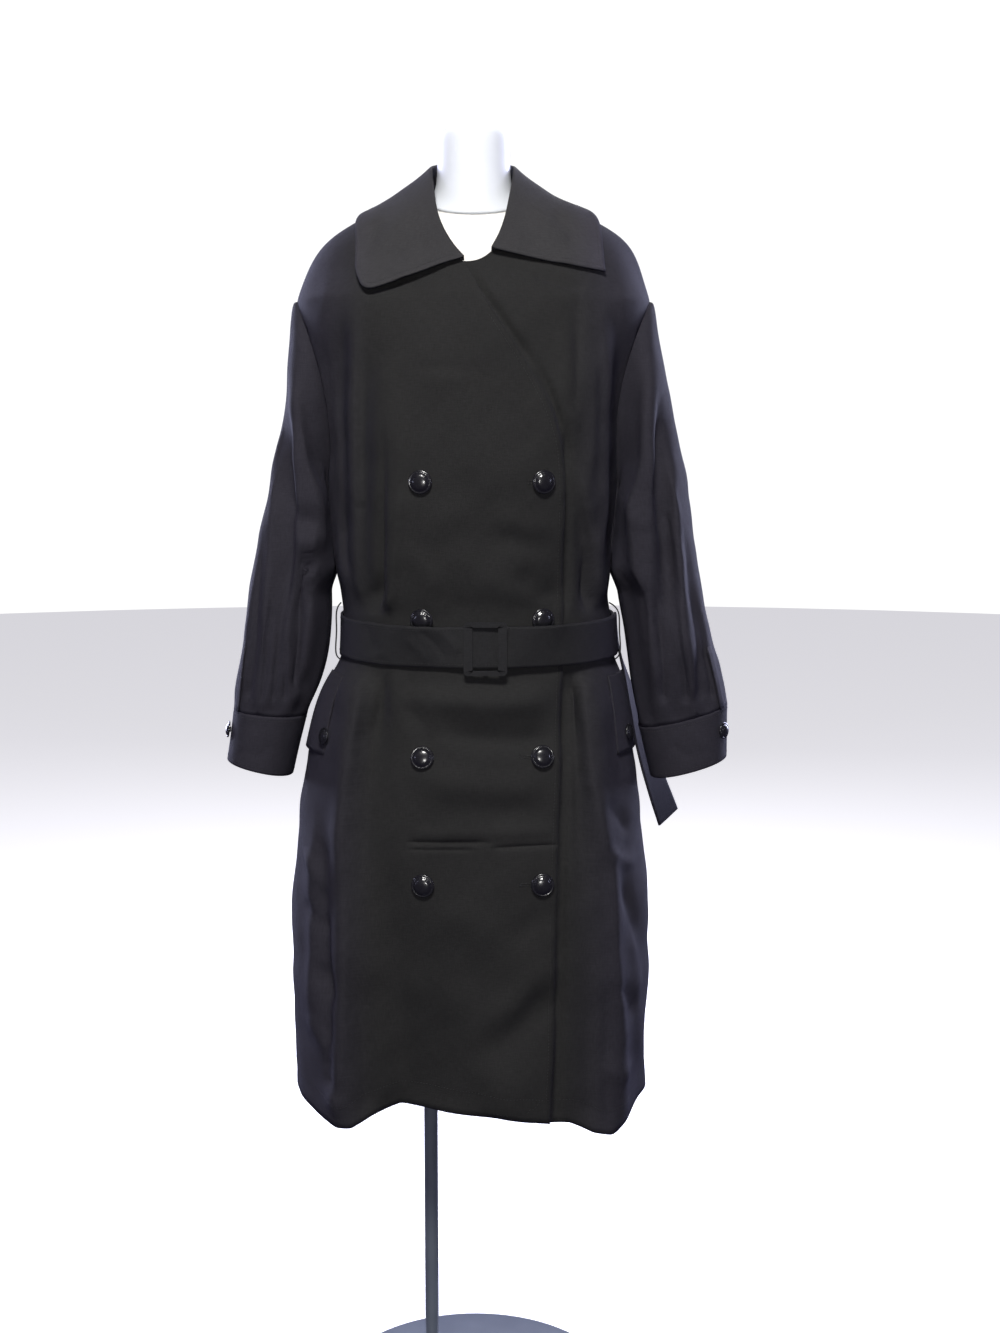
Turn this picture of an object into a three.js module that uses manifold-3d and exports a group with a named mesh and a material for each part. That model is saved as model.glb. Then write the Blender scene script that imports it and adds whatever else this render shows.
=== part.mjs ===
// A double-breasted trench coat, belted, hanging on a limbless dress form with a pole and a round base.
// Millimetres, +Z up. The coat faces -Y, and +X is the wearer's left. The origin is on the floor, at the
// centre of the base plate's underside.
import * as THREE from "three";
import { mergeVertices } from "three/addons/utils/BufferGeometryUtils.js";
import Module from "manifold-3d";

const { Vector3 } = THREE;
const RAD = Math.PI / 180;

// Cloth and seams
const CLOTH = 2.0; // coat cloth with its facing
const SEAM = 0.34; // space between two pieces at a seam
const LAP = CLOTH + 0.5; // how far the upper front is lifted by the lower one
const LAP_BEFORE = 0.2; // radians from the hidden edge to where that lift starts
const LAP_EASE = 0.17; // radians over which it rises
const CUFF_CLOTH = 2.6;
const COLLAR_CLOTH = 2.2;
const BELT_CLOTH = 2.4;
const WELT_CLOTH = 1.6;

// Heights of the coat
const HEM_Z = 400;
const SIDE_SEAM_TOP = 1060; // underarm
const SHOULDER_TIP = 1286;
const YOKE_Z = 1289; // from here up the fronts and the back close to the neckline
const BELT_Z = 924; // middle of the belt at the sides
const BELT_HEIGHT = 44;
const BELT_DROP = 5; // the belt sits lower in front
const PRESSED = 27; // the belt presses the folds flat this far above and below its middle
const PRESSED_EASE = 34;
const ARMHOLE_FRONT = 62; // half depth of the armhole
const ARMHOLE_BACK = 58;

// Front edges and buttons
const UNDER_EDGE_X = -74; // hidden edge of the left front
const BUTTON = { radius: 12.5, dome: 5.8, sides: 10 };
const SMALL_BUTTON = { radius: 9.5, dome: 4.6, sides: 8 };
const SHANK_RADIUS = 3;
const SHANK_HEIGHT = 1.2;
const BUTTON_SEAT = SEAM + 0.1; // space under a shank
const BUTTON_X = { right: -51, left: 76.5 };
const BUTTON_ROWS = [1094, 947, 802, 664];

// Dress form and stand
const BASE_RADIUS = 175;
const BASE_HEIGHT = 8;
const POLE_RADIUS = 8;
const POLE_X = -50;
const POLE_Y = 10;
const FORM_BOTTOM = 772;
const FORM_X = 3; // middle of the form
const SHOULDER_EASE = 4.8; // from the coat's outline in to the form's shoulder
const NECK_TOP = 1468;
const NECK_TILT = 0.38; // the neck seam is lower in front

// A table is a list of rows under named columns.
const table = (columns, rows) => rows.map((row) => Object.fromEntries(row.map((v, i) => [columns[i], v])));
const clamp = (v, lo = 0, hi = 1) => Math.min(hi, Math.max(lo, v));
const smooth = (t) => { const u = clamp(t); return u * u * (3 - 2 * u); };
const lerp = (a, b, t) => a + (b - a) * t;
const power = (v, p) => Math.sign(v) * Math.abs(v) ** p;

// Reads one column of a table at a place between its rows, on a smooth curve.
function at(rows, key, column, place) {
  const last = rows.length - 1;
  const p = clamp(place, rows[0][key], rows[last][key]);
  let i = 0;
  while (i < last - 1 && p > rows[i + 1][key]) i += 1;
  const slope = (k) => {
    const a = Math.max(k - 1, 0), b = Math.min(k + 1, last);
    return (rows[b][column] - rows[a][column]) / (rows[b][key] - rows[a][key]);
  };
  const span = rows[i + 1][key] - rows[i][key];
  const t = (p - rows[i][key]) / span;
  const a = rows[i][column], b = rows[i + 1][column];
  return a * (1 + 2 * t) * (1 - t) ** 2 + b * t * t * (3 - 2 * t)
    + span * (slope(i) * t * (1 - t) ** 2 - slope(i + 1) * t * t * (1 - t));
}

// The coat's level sections: half widths on the wearer's right and left, depths, and squareness.
const BODY = table(["z", "right", "left", "front", "back", "square"], [
  [400, 205, 200, 142, 150, 2.5],
  [466, 205.5, 201, 141, 149, 2.5],
  [538, 208, 202.5, 140, 147, 2.5],
  [610, 207, 203, 139, 145, 2.5],
  [680, 201, 195, 137, 142, 2.45],
  [750, 193, 189, 134, 138, 2.4],
  [820, 181.5, 179, 129, 131, 2.35],
  [860, 168, 173, 124, 124, 2.3],
  [880, 155.5, 167, 120, 118, 2.3],
  [894, 146.5, 159, 117, 113.5, 2.3],
  [922, 144, 157, 117, 113, 2.3],
  [950, 144, 155, 117.5, 113.5, 2.3],
  [960, 145, 150, 119, 116, 2.3],
  [978, 150.5, 152, 124, 121, 2.3],
  [1005, 155, 156, 129, 125, 2.3],
  [1060, 160, 163, 133, 129, 2.3],
  [1110, 163, 167, 134, 130, 2.3],
  [1158, 167, 171, 132, 130, 2.3],
  [1223, 178, 182, 126, 124, 2.3],
  [1262, 187, 191, 119, 116, 2.2],
  [1288, 191, 196, 111, 108, 2.1],
  [1301, 187, 190.5, 102, 103, 2.05],
  [1314, 181.5, 188, 92, 97, 2],
  [1327, 176, 184, 84, 90, 2],
  [1340, 169, 179, 77, 83, 2],
  [1352, 158, 171, 71, 77, 2],
  [1365, 143, 157, 65, 71, 2],
  [1378, 113, 131, 58, 66, 2],
  [1390, 90, 98, 52, 63, 2],
  [1402, 73, 79, 43, 60, 2],
  [1412, 58, 62, 34, 56, 2],
  [1420, 48, 51, 26, 50, 2],
]);

// The neckline's height, by the angle from the front (0) past the shoulder (90) to the back (180).
const NECKLINE = table(["angle", "z"], [
  [0, 1319], [10, 1326], [20, 1339], [35, 1364], [50, 1388], [70, 1407], [90, 1415], [110, 1416],
  [135, 1411], [180, 1404],
]);

// The visible edge of the wearer's right front, which lies on top.
const OVER_EDGE = table(["z", "x"], [
  [400, 84], [466, 88], [530, 90], [663, 92], [801, 96], [928, 98], [1094, 98.5], [1127, 98], [1157, 91],
  [1212, 63], [1269, 24], [1321, -6], [1345, -18],
]);
// The hidden edge of the left front.
const UNDER_EDGE = table(["z", "x"], [
  [400, UNDER_EDGE_X], [1180, UNDER_EDGE_X], [1230, -64], [1270, -44], [1321, -24], [1345, -34],
]);

// Folds that stand out of the cloth (height above 0) or sink into it, with x at their two ends.
const FOLDS = table([
  "face", "zTop", "xTop", "zBottom", "xBottom", "height", "width", "fadeTop", "fadeBottom",
], [
  // chest, above the belt
  [1, 1190, -88, 955, -104, 9, 26, 60, 25],
  [1, 1260, -112, 955, -124, -9, 24, 80, 25],
  [1, 1270, -140, 955, -137, 5, 22, 80, 25],
  [1, 1265, 108, 1115, 101, 6, 22, 60, 40],
  [1, 1110, 112, 960, 106, -7, 20, 50, 20],
  [1, 1100, 130, 955, 134, 7, 22, 80, 25],
  // skirt, in front
  [1, 893, -126, 385, -142, 13, 34, 40, 1],
  [1, 893, -95, 385, -104, -7, 30, 60, 1],
  [1, 700, -70, 385, -72, -26, 52, 260, 1],
  [1, 893, 126, 385, 150, 15, 36, 40, 1],
  [1, 893, 108, 660, 108, -6, 22, 30, 160],
  [1, 640, 112, 385, 116, -6, 30, 160, 1],
  [1, 560, 20, 385, 60, 10, 60, 120, 1],
  [1, 620, 188, 385, 190, -9, 34, 160, 1],
  // skirt, behind
  [-1, 893, -110, 385, -128, 12, 40, 50, 1],
  [-1, 893, -66, 385, -70, -9, 38, 60, 1],
  [-1, 893, -10, 385, -14, 8, 44, 50, 1],
  [-1, 893, 62, 385, 68, -10, 40, 60, 1],
  [-1, 893, 112, 385, 130, 13, 42, 50, 1],
  // back, above the belt
  [-1, 1200, -112, 955, -96, 8, 30, 100, 25],
  [-1, 1120, -56, 955, -50, -7, 30, 80, 25],
  [-1, 1080, 8, 955, 6, 6, 34, 70, 25],
  [-1, 1140, 66, 955, 56, -7, 32, 80, 25],
  [-1, 1210, 116, 955, 100, 8, 30, 100, 25],
]);

const bodyAt = (column, z) => at(BODY, "z", column, z);

// One level section of the coat without its folds, by angle from the front.
function section(angle, z) {
  const s = Math.sin(angle), c = Math.cos(angle);
  const width = bodyAt(s < 0 ? "right" : "left", z);
  const depth = bodyAt(c > 0 ? "front" : "back", z);
  const n = bodyAt("square", z);
  const r = (Math.abs(s / width) ** n + Math.abs(c / depth) ** n) ** (-1 / n);
  const x = r * s, y = -r * c;
  const out = new Vector3(power(x / width, n - 1) / width, power(y / depth, n - 1) / depth, 0).normalize();
  return { x, y, r, out };
}

// The angle at which a section passes a given x, on the front (1) or the back (-1).
function angleAtX(x, z, face) {
  const width = bodyAt(x < 0 ? "right" : "left", z);
  const depth = bodyAt(face > 0 ? "front" : "back", z);
  const n = bodyAt("square", z);
  const y = depth * (1 - clamp(Math.abs(x) / width) ** n) ** (1 / n);
  return Math.atan2(x, face * y);
}

// The angle at which a section passes a given depth, on side -1 (wearer's right) or 1.
function angleAtY(y, z, side) {
  const width = bodyAt(side < 0 ? "right" : "left", z);
  const depth = bodyAt(y < 0 ? "front" : "back", z);
  const n = bodyAt("square", z);
  const x = width * (1 - clamp(Math.abs(y) / depth) ** n) ** (1 / n);
  return Math.atan2(side * x, -y);
}

// How far the folds stand out at a place. The belt presses them flat.
function foldHeight(angle, z, r) {
  const belt = smooth((Math.abs(z - BELT_Z) - PRESSED) / PRESSED_EASE);
  let sum = 0;
  for (const f of FOLDS) {
    if (z > f.zTop || z < f.zBottom) continue;
    const t = (f.zTop - z) / (f.zTop - f.zBottom);
    const middle = angleAtX(lerp(f.xTop, f.xBottom, t), z, f.face);
    const away = Math.abs(Math.atan2(Math.sin(angle - middle), Math.cos(angle - middle))) * r;
    if (away > f.width) continue;
    const ends = smooth((f.zTop - z) / f.fadeTop) * smooth((z - f.zBottom) / f.fadeBottom);
    sum += f.height * ends * 0.5 * (1 + Math.cos(Math.PI * away / f.width));
  }
  return sum * belt;
}

// The coat's outer surface, and the way out of it.
function skin(angle, z) {
  const s = section(angle, z);
  return new Vector3(s.x, s.y, z).addScaledVector(s.out, foldHeight(angle, z, s.r));
}
function skinOut(angle, z) {
  const across = skin(angle + 0.01, z).sub(skin(angle - 0.01, z));
  const up = skin(angle, z + 1).sub(skin(angle, z - 1));
  return across.cross(up).normalize();
}
const wrapped = (angle) => Math.atan2(Math.sin(angle), Math.cos(angle));
const neckZ = (angle) => at(NECKLINE, "angle", "z", Math.abs(wrapped(angle)) / RAD);

// Gives a sheet its thickness: rows of outer points and of inner points become one closed solid.
// A round sheet joins its last column to its first.
function wall(outer, inner, round) {
  const rows = outer.length, columns = outer[0].length;
  const points = [...outer.flat(), ...inner.flat()];
  const index = [];
  const id = (i, j, side) => side * rows * columns + i * columns + (j % columns);
  const quad = (a, b, c, d) => {
    const across = points[a].distanceTo(points[c]) <= points[b].distanceTo(points[d]);
    index.push(...(across ? [a, b, c, a, c, d] : [a, b, d, b, c, d]));
  };
  const steps = round ? columns : columns - 1;
  for (let i = 0; i < rows - 1; i += 1) {
    for (let j = 0; j < steps; j += 1) {
      quad(id(i, j, 0), id(i, j + 1, 0), id(i + 1, j + 1, 0), id(i + 1, j, 0));
      quad(id(i, j, 1), id(i + 1, j, 1), id(i + 1, j + 1, 1), id(i, j + 1, 1));
    }
    if (!round) {
      const e = columns - 1;
      quad(id(i, 0, 0), id(i + 1, 0, 0), id(i + 1, 0, 1), id(i, 0, 1));
      quad(id(i, e, 0), id(i, e, 1), id(i + 1, e, 1), id(i + 1, e, 0));
    }
  }
  for (let j = 0; j < steps; j += 1) {
    const t = rows - 1;
    quad(id(0, j, 0), id(0, j, 1), id(0, j + 1, 1), id(0, j + 1, 0));
    quad(id(t, j, 0), id(t, j + 1, 0), id(t, j + 1, 1), id(t, j, 1));
  }
  return solid(points, index);
}

// A closed stack of rings, with a point at each end.
function stack(rings, bottom, top) {
  const n = rings[0].length;
  const points = [...rings.flat(), bottom, top];
  const index = [];
  for (let i = 0; i < rings.length - 1; i += 1) {
    for (let j = 0; j < n; j += 1) {
      const a = i * n + j, b = i * n + ((j + 1) % n);
      index.push(a, b, b + n, a, b + n, a + n);
    }
  }
  const first = rings.length * n, lastRing = (rings.length - 1) * n;
  for (let j = 0; j < n; j += 1) {
    index.push(first, (j + 1) % n, j);
    index.push(first + 1, lastRing + j, lastRing + ((j + 1) % n));
  }
  return solid(points, index);
}

// Faces always end up pointing out.
function solid(points, index) {
  let volume = 0;
  for (let i = 0; i < index.length; i += 3) {
    const [a, b, c] = [points[index[i]], points[index[i + 1]], points[index[i + 2]]];
    volume += a.dot(new Vector3().crossVectors(b, c));
  }
  if (volume < 0) index.reverse();
  const geometry = new THREE.BufferGeometry();
  geometry.setAttribute("position", new THREE.Float32BufferAttribute(points.flatMap((p) => p.toArray()), 3));
  geometry.setIndex(index);
  geometry.computeVertexNormals();
  return geometry;
}

// Materials, one for each piece
const FINISH = {
  cloth: { color: 0x2b2b2d, roughness: 0.86, metalness: 0 },
  collarCloth: { color: 0x303033, roughness: 0.86, metalness: 0 },
  button: { color: 0x0e0e10, roughness: 0.22, metalness: 0.1 },
  formCover: { color: 0xe9e7e1, roughness: 0.8, metalness: 0 },
  neckBlock: { color: 0xdfe4ea, roughness: 0.6, metalness: 0 },
  standMetal: { color: 0x59606a, roughness: 0.45, metalness: 0.7 },
};
const coat = new THREE.Group();
function add(name, geometry, finish) {
  const mesh = new THREE.Mesh(geometry, new THREE.MeshStandardMaterial(FINISH[finish]));
  mesh.name = name;
  coat.add(mesh);
  return mesh;
}

// Fronts and back
const BODY_ROWS = [HEM_Z, 455, 510, 565, 620, 680, 740, 795, 835, 862, 880, 894, 922, 950, 966, 992, 1026];
const ARMHOLE_ROWS = [SIDE_SEAM_TOP, 1068, 1092, 1130, 1173, 1216, 1254, 1278, SHOULDER_TIP];
const YOKE_STEPS = [0, 0.16, 0.36, 0.56, 0.78, 1];
const FRONT_SIDE_STEPS = 9; // columns from a side seam to the nearest front edge
const LAP_STEPS = 4; // columns across the overlap
const BACK_STEPS = 14;

// Half depth of the armhole at a height, never less than half a seam.
function armholeDepth(z, depth) {
  const middle = (SIDE_SEAM_TOP + SHOULDER_TIP) / 2, half = (SHOULDER_TIP - SIDE_SEAM_TOP) / 2;
  return Math.max(SEAM / 2, depth * Math.sqrt(Math.max(0, 1 - ((z - middle) / half) ** 2)));
}
const frontSide = (z, side) => angleAtY(-armholeDepth(z, ARMHOLE_FRONT), z, side);
const backSide = (z, side) => angleAtY(armholeDepth(z, ARMHOLE_BACK), z, side);
const overEdge = (z) => angleAtX(at(OVER_EDGE, "z", "x", z), z, 1);
const underEdge = (z) => angleAtX(at(UNDER_EDGE, "z", "x", z), z, 1);

// Lifts the right front where the left one lies under it.
function lapLift(angle, z) {
  return LAP * smooth((angle - underEdge(z) + LAP_BEFORE) / LAP_EASE);
}

// Where a column is at a step from the yoke's height (0) to the neckline (1).
function columnPlace(columns, j, step) {
  let z = YOKE_Z, angle = columns(z)[j];
  for (let pass = 0; pass < 8; pass += 1) {
    z = lerp(YOKE_Z, neckZ(angle), step);
    angle = columns(z)[j];
  }
  return [angle, z];
}

// A panel from its columns' angles at a height, from the hem to the neckline.
function panel(columns, lift) {
  const outer = [], inner = [];
  const count = columns(HEM_Z).length;
  const addRow = (place) => {
    const out = [], back = [];
    for (let j = 0; j < count; j += 1) {
      const [angle, z] = place(j);
      const way = skinOut(angle, z);
      const raise = lift(angle, z);
      out.push(skin(angle, z).addScaledVector(way, raise));
      back.push(skin(angle, z).addScaledVector(way, raise - CLOTH));
    }
    outer.push(out);
    inner.push(back);
  };
  for (const z of [...BODY_ROWS, ...ARMHOLE_ROWS]) addRow((j) => [columns(z)[j], z]);
  for (const step of YOKE_STEPS) addRow((j) => columnPlace(columns, j, step));
  return wall(outer, inner, false);
}

// Columns between key angles, closer together towards a side seam.
const spread = (from, to, steps, ease = 1) =>
  Array.from({ length: steps + 1 }, (_, i) => lerp(from, to, (i / steps) ** ease));

function rightFrontColumns(z) {
  return [...spread(frontSide(z, -1), underEdge(z), FRONT_SIDE_STEPS),
    ...spread(underEdge(z), overEdge(z), LAP_STEPS).slice(1)];
}
function leftFrontColumns(z) {
  return [...spread(underEdge(z), overEdge(z), LAP_STEPS),
    ...spread(overEdge(z), frontSide(z, 1), FRONT_SIDE_STEPS - 1).slice(1)];
}
function backColumns(z) {
  return spread(backSide(z, 1), backSide(z, -1) + 2 * Math.PI, BACK_STEPS);
}
const flat = () => 0;
add("front_right", panel(rightFrontColumns, lapLift), "cloth");
add("front_left", panel(leftFrontColumns, flat), "cloth");
add("back", panel(backColumns, flat), "cloth");

// The surface that a trim on the front lies on, with the right front's lift where it is on top
const OVER_EDGE_REACH = 0.05; // radians
const isOnTop = (angle, z) => Math.abs(angle) < Math.PI / 2 && angle <= overEdge(z) + OVER_EDGE_REACH;
const topLift = (angle, z) => (isOnTop(angle, z) ? lapLift(angle, z) : 0);

// Sleeves: a row for each ring, from the armhole to the cuff seam. Outer and inner are the two ends
// of the ring seen from the front, front and back are its half depths.
const RING_COLUMNS = ["s", "outerX", "outerZ", "innerX", "innerZ", "front", "back"];
const SLEEVES = {
  right: table(RING_COLUMNS, [
    [0.00, 193.5, 1279, 163.5, 1056, 64, 60],
    [0.10, 197.5, 1260, 164.5, 1045, 66, 63],
    [0.22, 201.5, 1223, 164, 1027, 67, 65],
    [0.36, 207, 1158, 162, 1005, 67, 65],
    [0.50, 222.5, 1092, 159, 985, 67, 65],
    [0.62, 238, 1025, 157.5, 962, 67, 64],
    [0.74, 250, 957, 158.5, 930, 67, 62],
    [0.86, 262, 889, 163.5, 886, 64, 58],
    [0.93, 266.5, 862, 174, 856, 56, 48],
    [1.00, 268.5, 836, 188.5, 829, 46, 34],
  ]),
  left: table(RING_COLUMNS, [
    [0.00, 198.5, 1279, 167, 1056, 64, 60],
    [0.10, 203, 1260, 168, 1045, 66, 63],
    [0.22, 211, 1223, 167.5, 1027, 67, 65],
    [0.36, 226, 1158, 165, 1005, 67, 65],
    [0.50, 239, 1092, 161.5, 985, 67, 65],
    [0.62, 249, 1025, 164, 962, 67, 64],
    [0.74, 260.5, 957, 171, 925, 67, 62],
    [0.86, 275, 889, 177, 882, 64, 58],
    [0.93, 283, 866, 182, 849, 56, 48],
    [1.00, 288, 841, 190, 815, 46, 34],
  ]),
};
// Folds of the sleeves, by ring and by angle: 0 is the outer side, 90 the front, 180 the inner side.
const SLEEVE_FOLD_COLUMNS = ["from", "fromAngle", "to", "toAngle", "height", "width"];
const SLEEVE_FOLDS = {
  right: table(SLEEVE_FOLD_COLUMNS, [
    [0.12, 62, 0.86, 138, 9, 26],
    [0.20, 32, 0.95, 96, -7, 26],
    [0.30, 12, 0.92, 60, 5, 22],
    [0.15, 250, 0.90, 300, 8, 28],
    [0.25, 214, 0.85, 250, -6, 26],
  ]),
  left: table(SLEEVE_FOLD_COLUMNS, [
    [0.08, 80, 0.86, 122, 9, 22],
    [0.14, 110, 0.80, 150, -7, 24],
    [0.30, 48, 0.94, 78, 7, 20],
    [0.24, 66, 0.88, 98, -6, 20],
    [0.15, 262, 0.90, 304, 8, 28],
    [0.25, 222, 0.85, 258, -6, 26],
  ]),
};
const RING_STEPS = 11;
const PLEATS = 9; // at each cuff
const PLEAT_HEIGHT = 4.2;
const PLEATS_FROM = 0.66; // where along the sleeve they start
const PLEATS_EASE = 0.3;
const PLEATS_PRESSED = 0.35; // share of their height that the cuff's seam takes
const SQUARENESS = 0.9; // of a sleeve's section
const ARMHOLE_MIDDLE_X = 172;
const HEAD_INSET = 0.5; // from the armhole's edge in to the sleeve's head
const HEAD_RISE = 0.8; // of the head's first ring out of the coat
const HEAD_START = 3; // reach of the next ring, and its growth along the sleeve
const HEAD_GROWTH = 40;
const HEAD_EASE = 0.24; // share of the sleeve over which the head takes the sleeve's own section
const CUFF_GROW = 1.6; // the cuff stands outside the sleeve's end

// The armhole's edge: its points, the way out of the coat there, and their place round the ring.
function armhole(side) {
  const middleZ = (SIDE_SEAM_TOP + SHOULDER_TIP) / 2, halfZ = (SHOULDER_TIP - SIDE_SEAM_TOP) / 2;
  const corner = (z, edge, turn) => {
    const angle = edge(z, side);
    const around = Math.acos(clamp((z - middleZ) / halfZ, -1, 1));
    return { p: skin(angle, z), out: skinOut(angle, z), around: turn ? 2 * Math.PI - around : around };
  };
  const down = [...ARMHOLE_ROWS].reverse();
  const corners = [...down.map((z) => corner(z, frontSide, false)),
    ...ARMHOLE_ROWS.slice(1, -1).map((z) => corner(z, backSide, true))];
  corners[0].p.y = 0;
  corners[ARMHOLE_ROWS.length - 1].p.y = 0;
  return corners.flatMap((a, i) => {
    const b = corners[(i + 1) % corners.length];
    const next = b.around === 0 ? 2 * Math.PI : b.around;
    const between = { p: a.p.clone().lerp(b.p, 0.5), out: a.out.clone().lerp(b.out, 0.5).normalize(),
      around: (a.around + next) / 2 };
    return [a, between];
  });
}

const ringPoint = (row, side, around, grow) => {
  const c = power(Math.cos(around), SQUARENESS), s = power(Math.sin(around), SQUARENESS);
  const depth = s > 0 ? row.front : row.back;
  const half = new Vector3(side * (row.outerX - row.innerX) / 2, 0, (row.outerZ - row.innerZ) / 2);
  const middle = new Vector3(side * (row.outerX + row.innerX) / 2, 0, (row.outerZ + row.innerZ) / 2);
  const arm = half.multiplyScalar(c).add(new Vector3(0, -depth * s, 0));
  return middle.add(arm.multiplyScalar(1 + grow / arm.length()));
};
const ringRow = (rows, s) => Object.fromEntries(RING_COLUMNS.map((c) => [c, at(rows, "s", c, s)]));

function sleeveFold(name, s, around) {
  let sum = 0;
  for (const f of SLEEVE_FOLDS[name]) {
    if (s < f.from || s > f.to) continue;
    const t = (s - f.from) / (f.to - f.from);
    const middle = lerp(f.fromAngle, f.toAngle, t) * RAD;
    const away = Math.abs(Math.atan2(Math.sin(around - middle), Math.cos(around - middle))) / RAD;
    if (away > f.width) continue;
    const ends = smooth(t / 0.3) * smooth((1 - t) / 0.25);
    sum += f.height * ends * 0.5 * (1 + Math.cos(Math.PI * away / f.width));
  }
  return sum;
}
function pleat(s, around) {
  const rise = smooth((s - PLEATS_FROM) / PLEATS_EASE) * (1 - PLEATS_PRESSED * smooth((s - 0.95) / 0.05));
  const uneven = 0.8 + 0.2 * Math.cos(2 * around + 1);
  return PLEAT_HEIGHT * rise * uneven * Math.cos(PLEATS * around);
}

// The outer surface of a sleeve from the armhole's edge to the cuff seam
function sleeveRings(name) {
  const side = name === "right" ? -1 : 1;
  const edge = armhole(side);
  const centre = new Vector3(side * ARMHOLE_MIDDLE_X, 0, (SIDE_SEAM_TOP + SHOULDER_TIP) / 2);
  const inset = edge.map(({ p, out }) => {
    const inward = centre.clone().sub(p);
    inward.addScaledVector(out, -inward.dot(out)).normalize();
    return p.clone().addScaledVector(inward, HEAD_INSET);
  });
  const rings = [
    inset.map((p, j) => p.clone().addScaledVector(edge[j].out, -CLOTH)),
    inset.map((p, j) => p.clone().addScaledVector(edge[j].out, HEAD_RISE)),
  ];
  for (let i = 0; i <= RING_STEPS; i += 1) {
    const s = i / RING_STEPS;
    const row = ringRow(SLEEVES[name], s);
    const settle = smooth((s + 0.04) / HEAD_EASE);
    rings.push(edge.map(({ around, out }, j) => {
      const free = ringPoint(row, side, around, sleeveFold(name, s, around) + pleat(s, around));
      const head = inset[j].clone().addScaledVector(out, HEAD_START + HEAD_GROWTH * s);
      return head.lerp(free, settle);
    }));
  }
  return rings;
}

// The way out of a tube of rings at one point
function tubeOut(rings, i, j, side) {
  const n = rings[0].length;
  const around = rings[i][(j + 1) % n].clone().sub(rings[i][(j + n - 1) % n]);
  const along = rings[Math.min(i + 1, rings.length - 1)][j].clone().sub(rings[Math.max(i - 1, 0)][j]);
  return around.cross(along).multiplyScalar(side).normalize();
}

// The level of a ring's own plane
function ringAxis(row, side) {
  const across = new Vector3(side * (row.outerX - row.innerX), 0, row.outerZ - row.innerZ).normalize();
  return new Vector3(0, 1, 0).cross(across).normalize();
}

// A tube of rings with a wall inside. Its last ring stays in its plane, to meet the next piece.
function tube(rings, thickness, side, flatEnds) {
  const inner = rings.map((ring, i) => ring.map((p, j) => {
    const out = tubeOut(rings, i, j, side);
    const axis = flatEnds[i];
    if (axis) out.addScaledVector(axis, -out.dot(axis)).normalize();
    return p.clone().addScaledVector(out, -thickness);
  }));
  return wall(rings, inner, true);
}

const CUFF_END = {
  right: { outerX: 277, outerZ: 778, innerX: 205.5, innerZ: 760, front: 46, back: 34 },
  left: { outerX: 288, outerZ: 781, innerX: 204, innerZ: 757, front: 46, back: 34 },
};
const PLACKET = { from: 11, columns: [3, 4], lift: 0.5, cloth: 1.2 };
const CUFF_POINTS = 24;
const CUFF_STEPS = 3;

for (const name of ["right", "left"]) {
  const side = name === "right" ? -1 : 1;
  const rings = sleeveRings(name);
  const end = ringRow(SLEEVES[name], 1);
  add(`sleeve_${name}`, tube(rings, CLOTH, side, { [rings.length - 1]: ringAxis(end, side) }), "cloth");

  // The opening above the cuff has a bound strip on the sleeve's own points.
  const strip = (raise) => rings.slice(PLACKET.from).map((ring, k) => PLACKET.columns.map((j) =>
    ring[j].clone().addScaledVector(tubeOut(rings, PLACKET.from + k, j, side), raise)));
  add(`placket_${name}`, wall(strip(PLACKET.lift + PLACKET.cloth), strip(PLACKET.lift), false), "cloth");

  // The cuff starts just below the sleeve's seam.
  const axis = ringAxis(end, side);
  const down = axis.z > 0 ? axis.clone().negate() : axis.clone();
  const cuffRings = [];
  for (let i = 0; i <= CUFF_STEPS; i += 1) {
    const t = i / CUFF_STEPS;
    const row = Object.fromEntries(RING_COLUMNS.slice(1).map((c) => [c, lerp(end[c], CUFF_END[name][c], t)]));
    cuffRings.push(Array.from({ length: CUFF_POINTS }, (_, j) => {
      const p = ringPoint(row, side, 2 * Math.PI * j / CUFF_POINTS, CUFF_GROW);
      return p.addScaledVector(down, SEAM * (1 - t));
    }));
  }
  const ends = { 0: axis, [CUFF_STEPS]: ringAxis(CUFF_END[name], side) };
  add(`cuff_${name}`, tube(cuffRings, CUFF_CLOTH, side, ends), "cloth");
}

// Dress form: torso, neck block, socket, pole and base
const FORM = table(["z", "width", "front", "back", "tilt"], [
  [772, 84, 60, 64, 0],
  [780, 112, 78, 86, 0],
  [800, 130, 88, 100, 0],
  [850, 134, 92, 104, 0],
  [900, 126, 88, 90, 0],
  [950, 116, 84, 78, 0],
  [1010, 121, 90, 80, 0],
  [1090, 132, 102, 86, 0],
  [1160, 139, 108, 92, 0],
  [1230, 146, 100, 92, 0],
  [1290, 152, 86, 86, 0],
  [1320, 154, 76, 80, 0],
  [1340, 152, 68, 75, 0],
  [1352, 148, 63, 66, 0.04],
  [1364, 134, 57, 52, 0.08],
  [1376, 103, 52, 46, 0.17],
  [1386, 74, 49, 45, 0.28],
  [1392, 54, 47, 46, NECK_TILT],
]);
const NECK = table(["z", "width", "front", "back", "tilt"], [
  [1392.4, 53, 46, 46, NECK_TILT],
  [1402, 43, 45.5, 45, NECK_TILT * 0.8],
  [1416, 40.5, 44.5, 43, NECK_TILT * 0.4],
  [1440, 40, 44, 42, 0],
  [1464, 40, 44, 42, 0],
  [NECK_TOP, 36, 40, 38, 0],
]);
const FORM_POINTS = 24;
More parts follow.
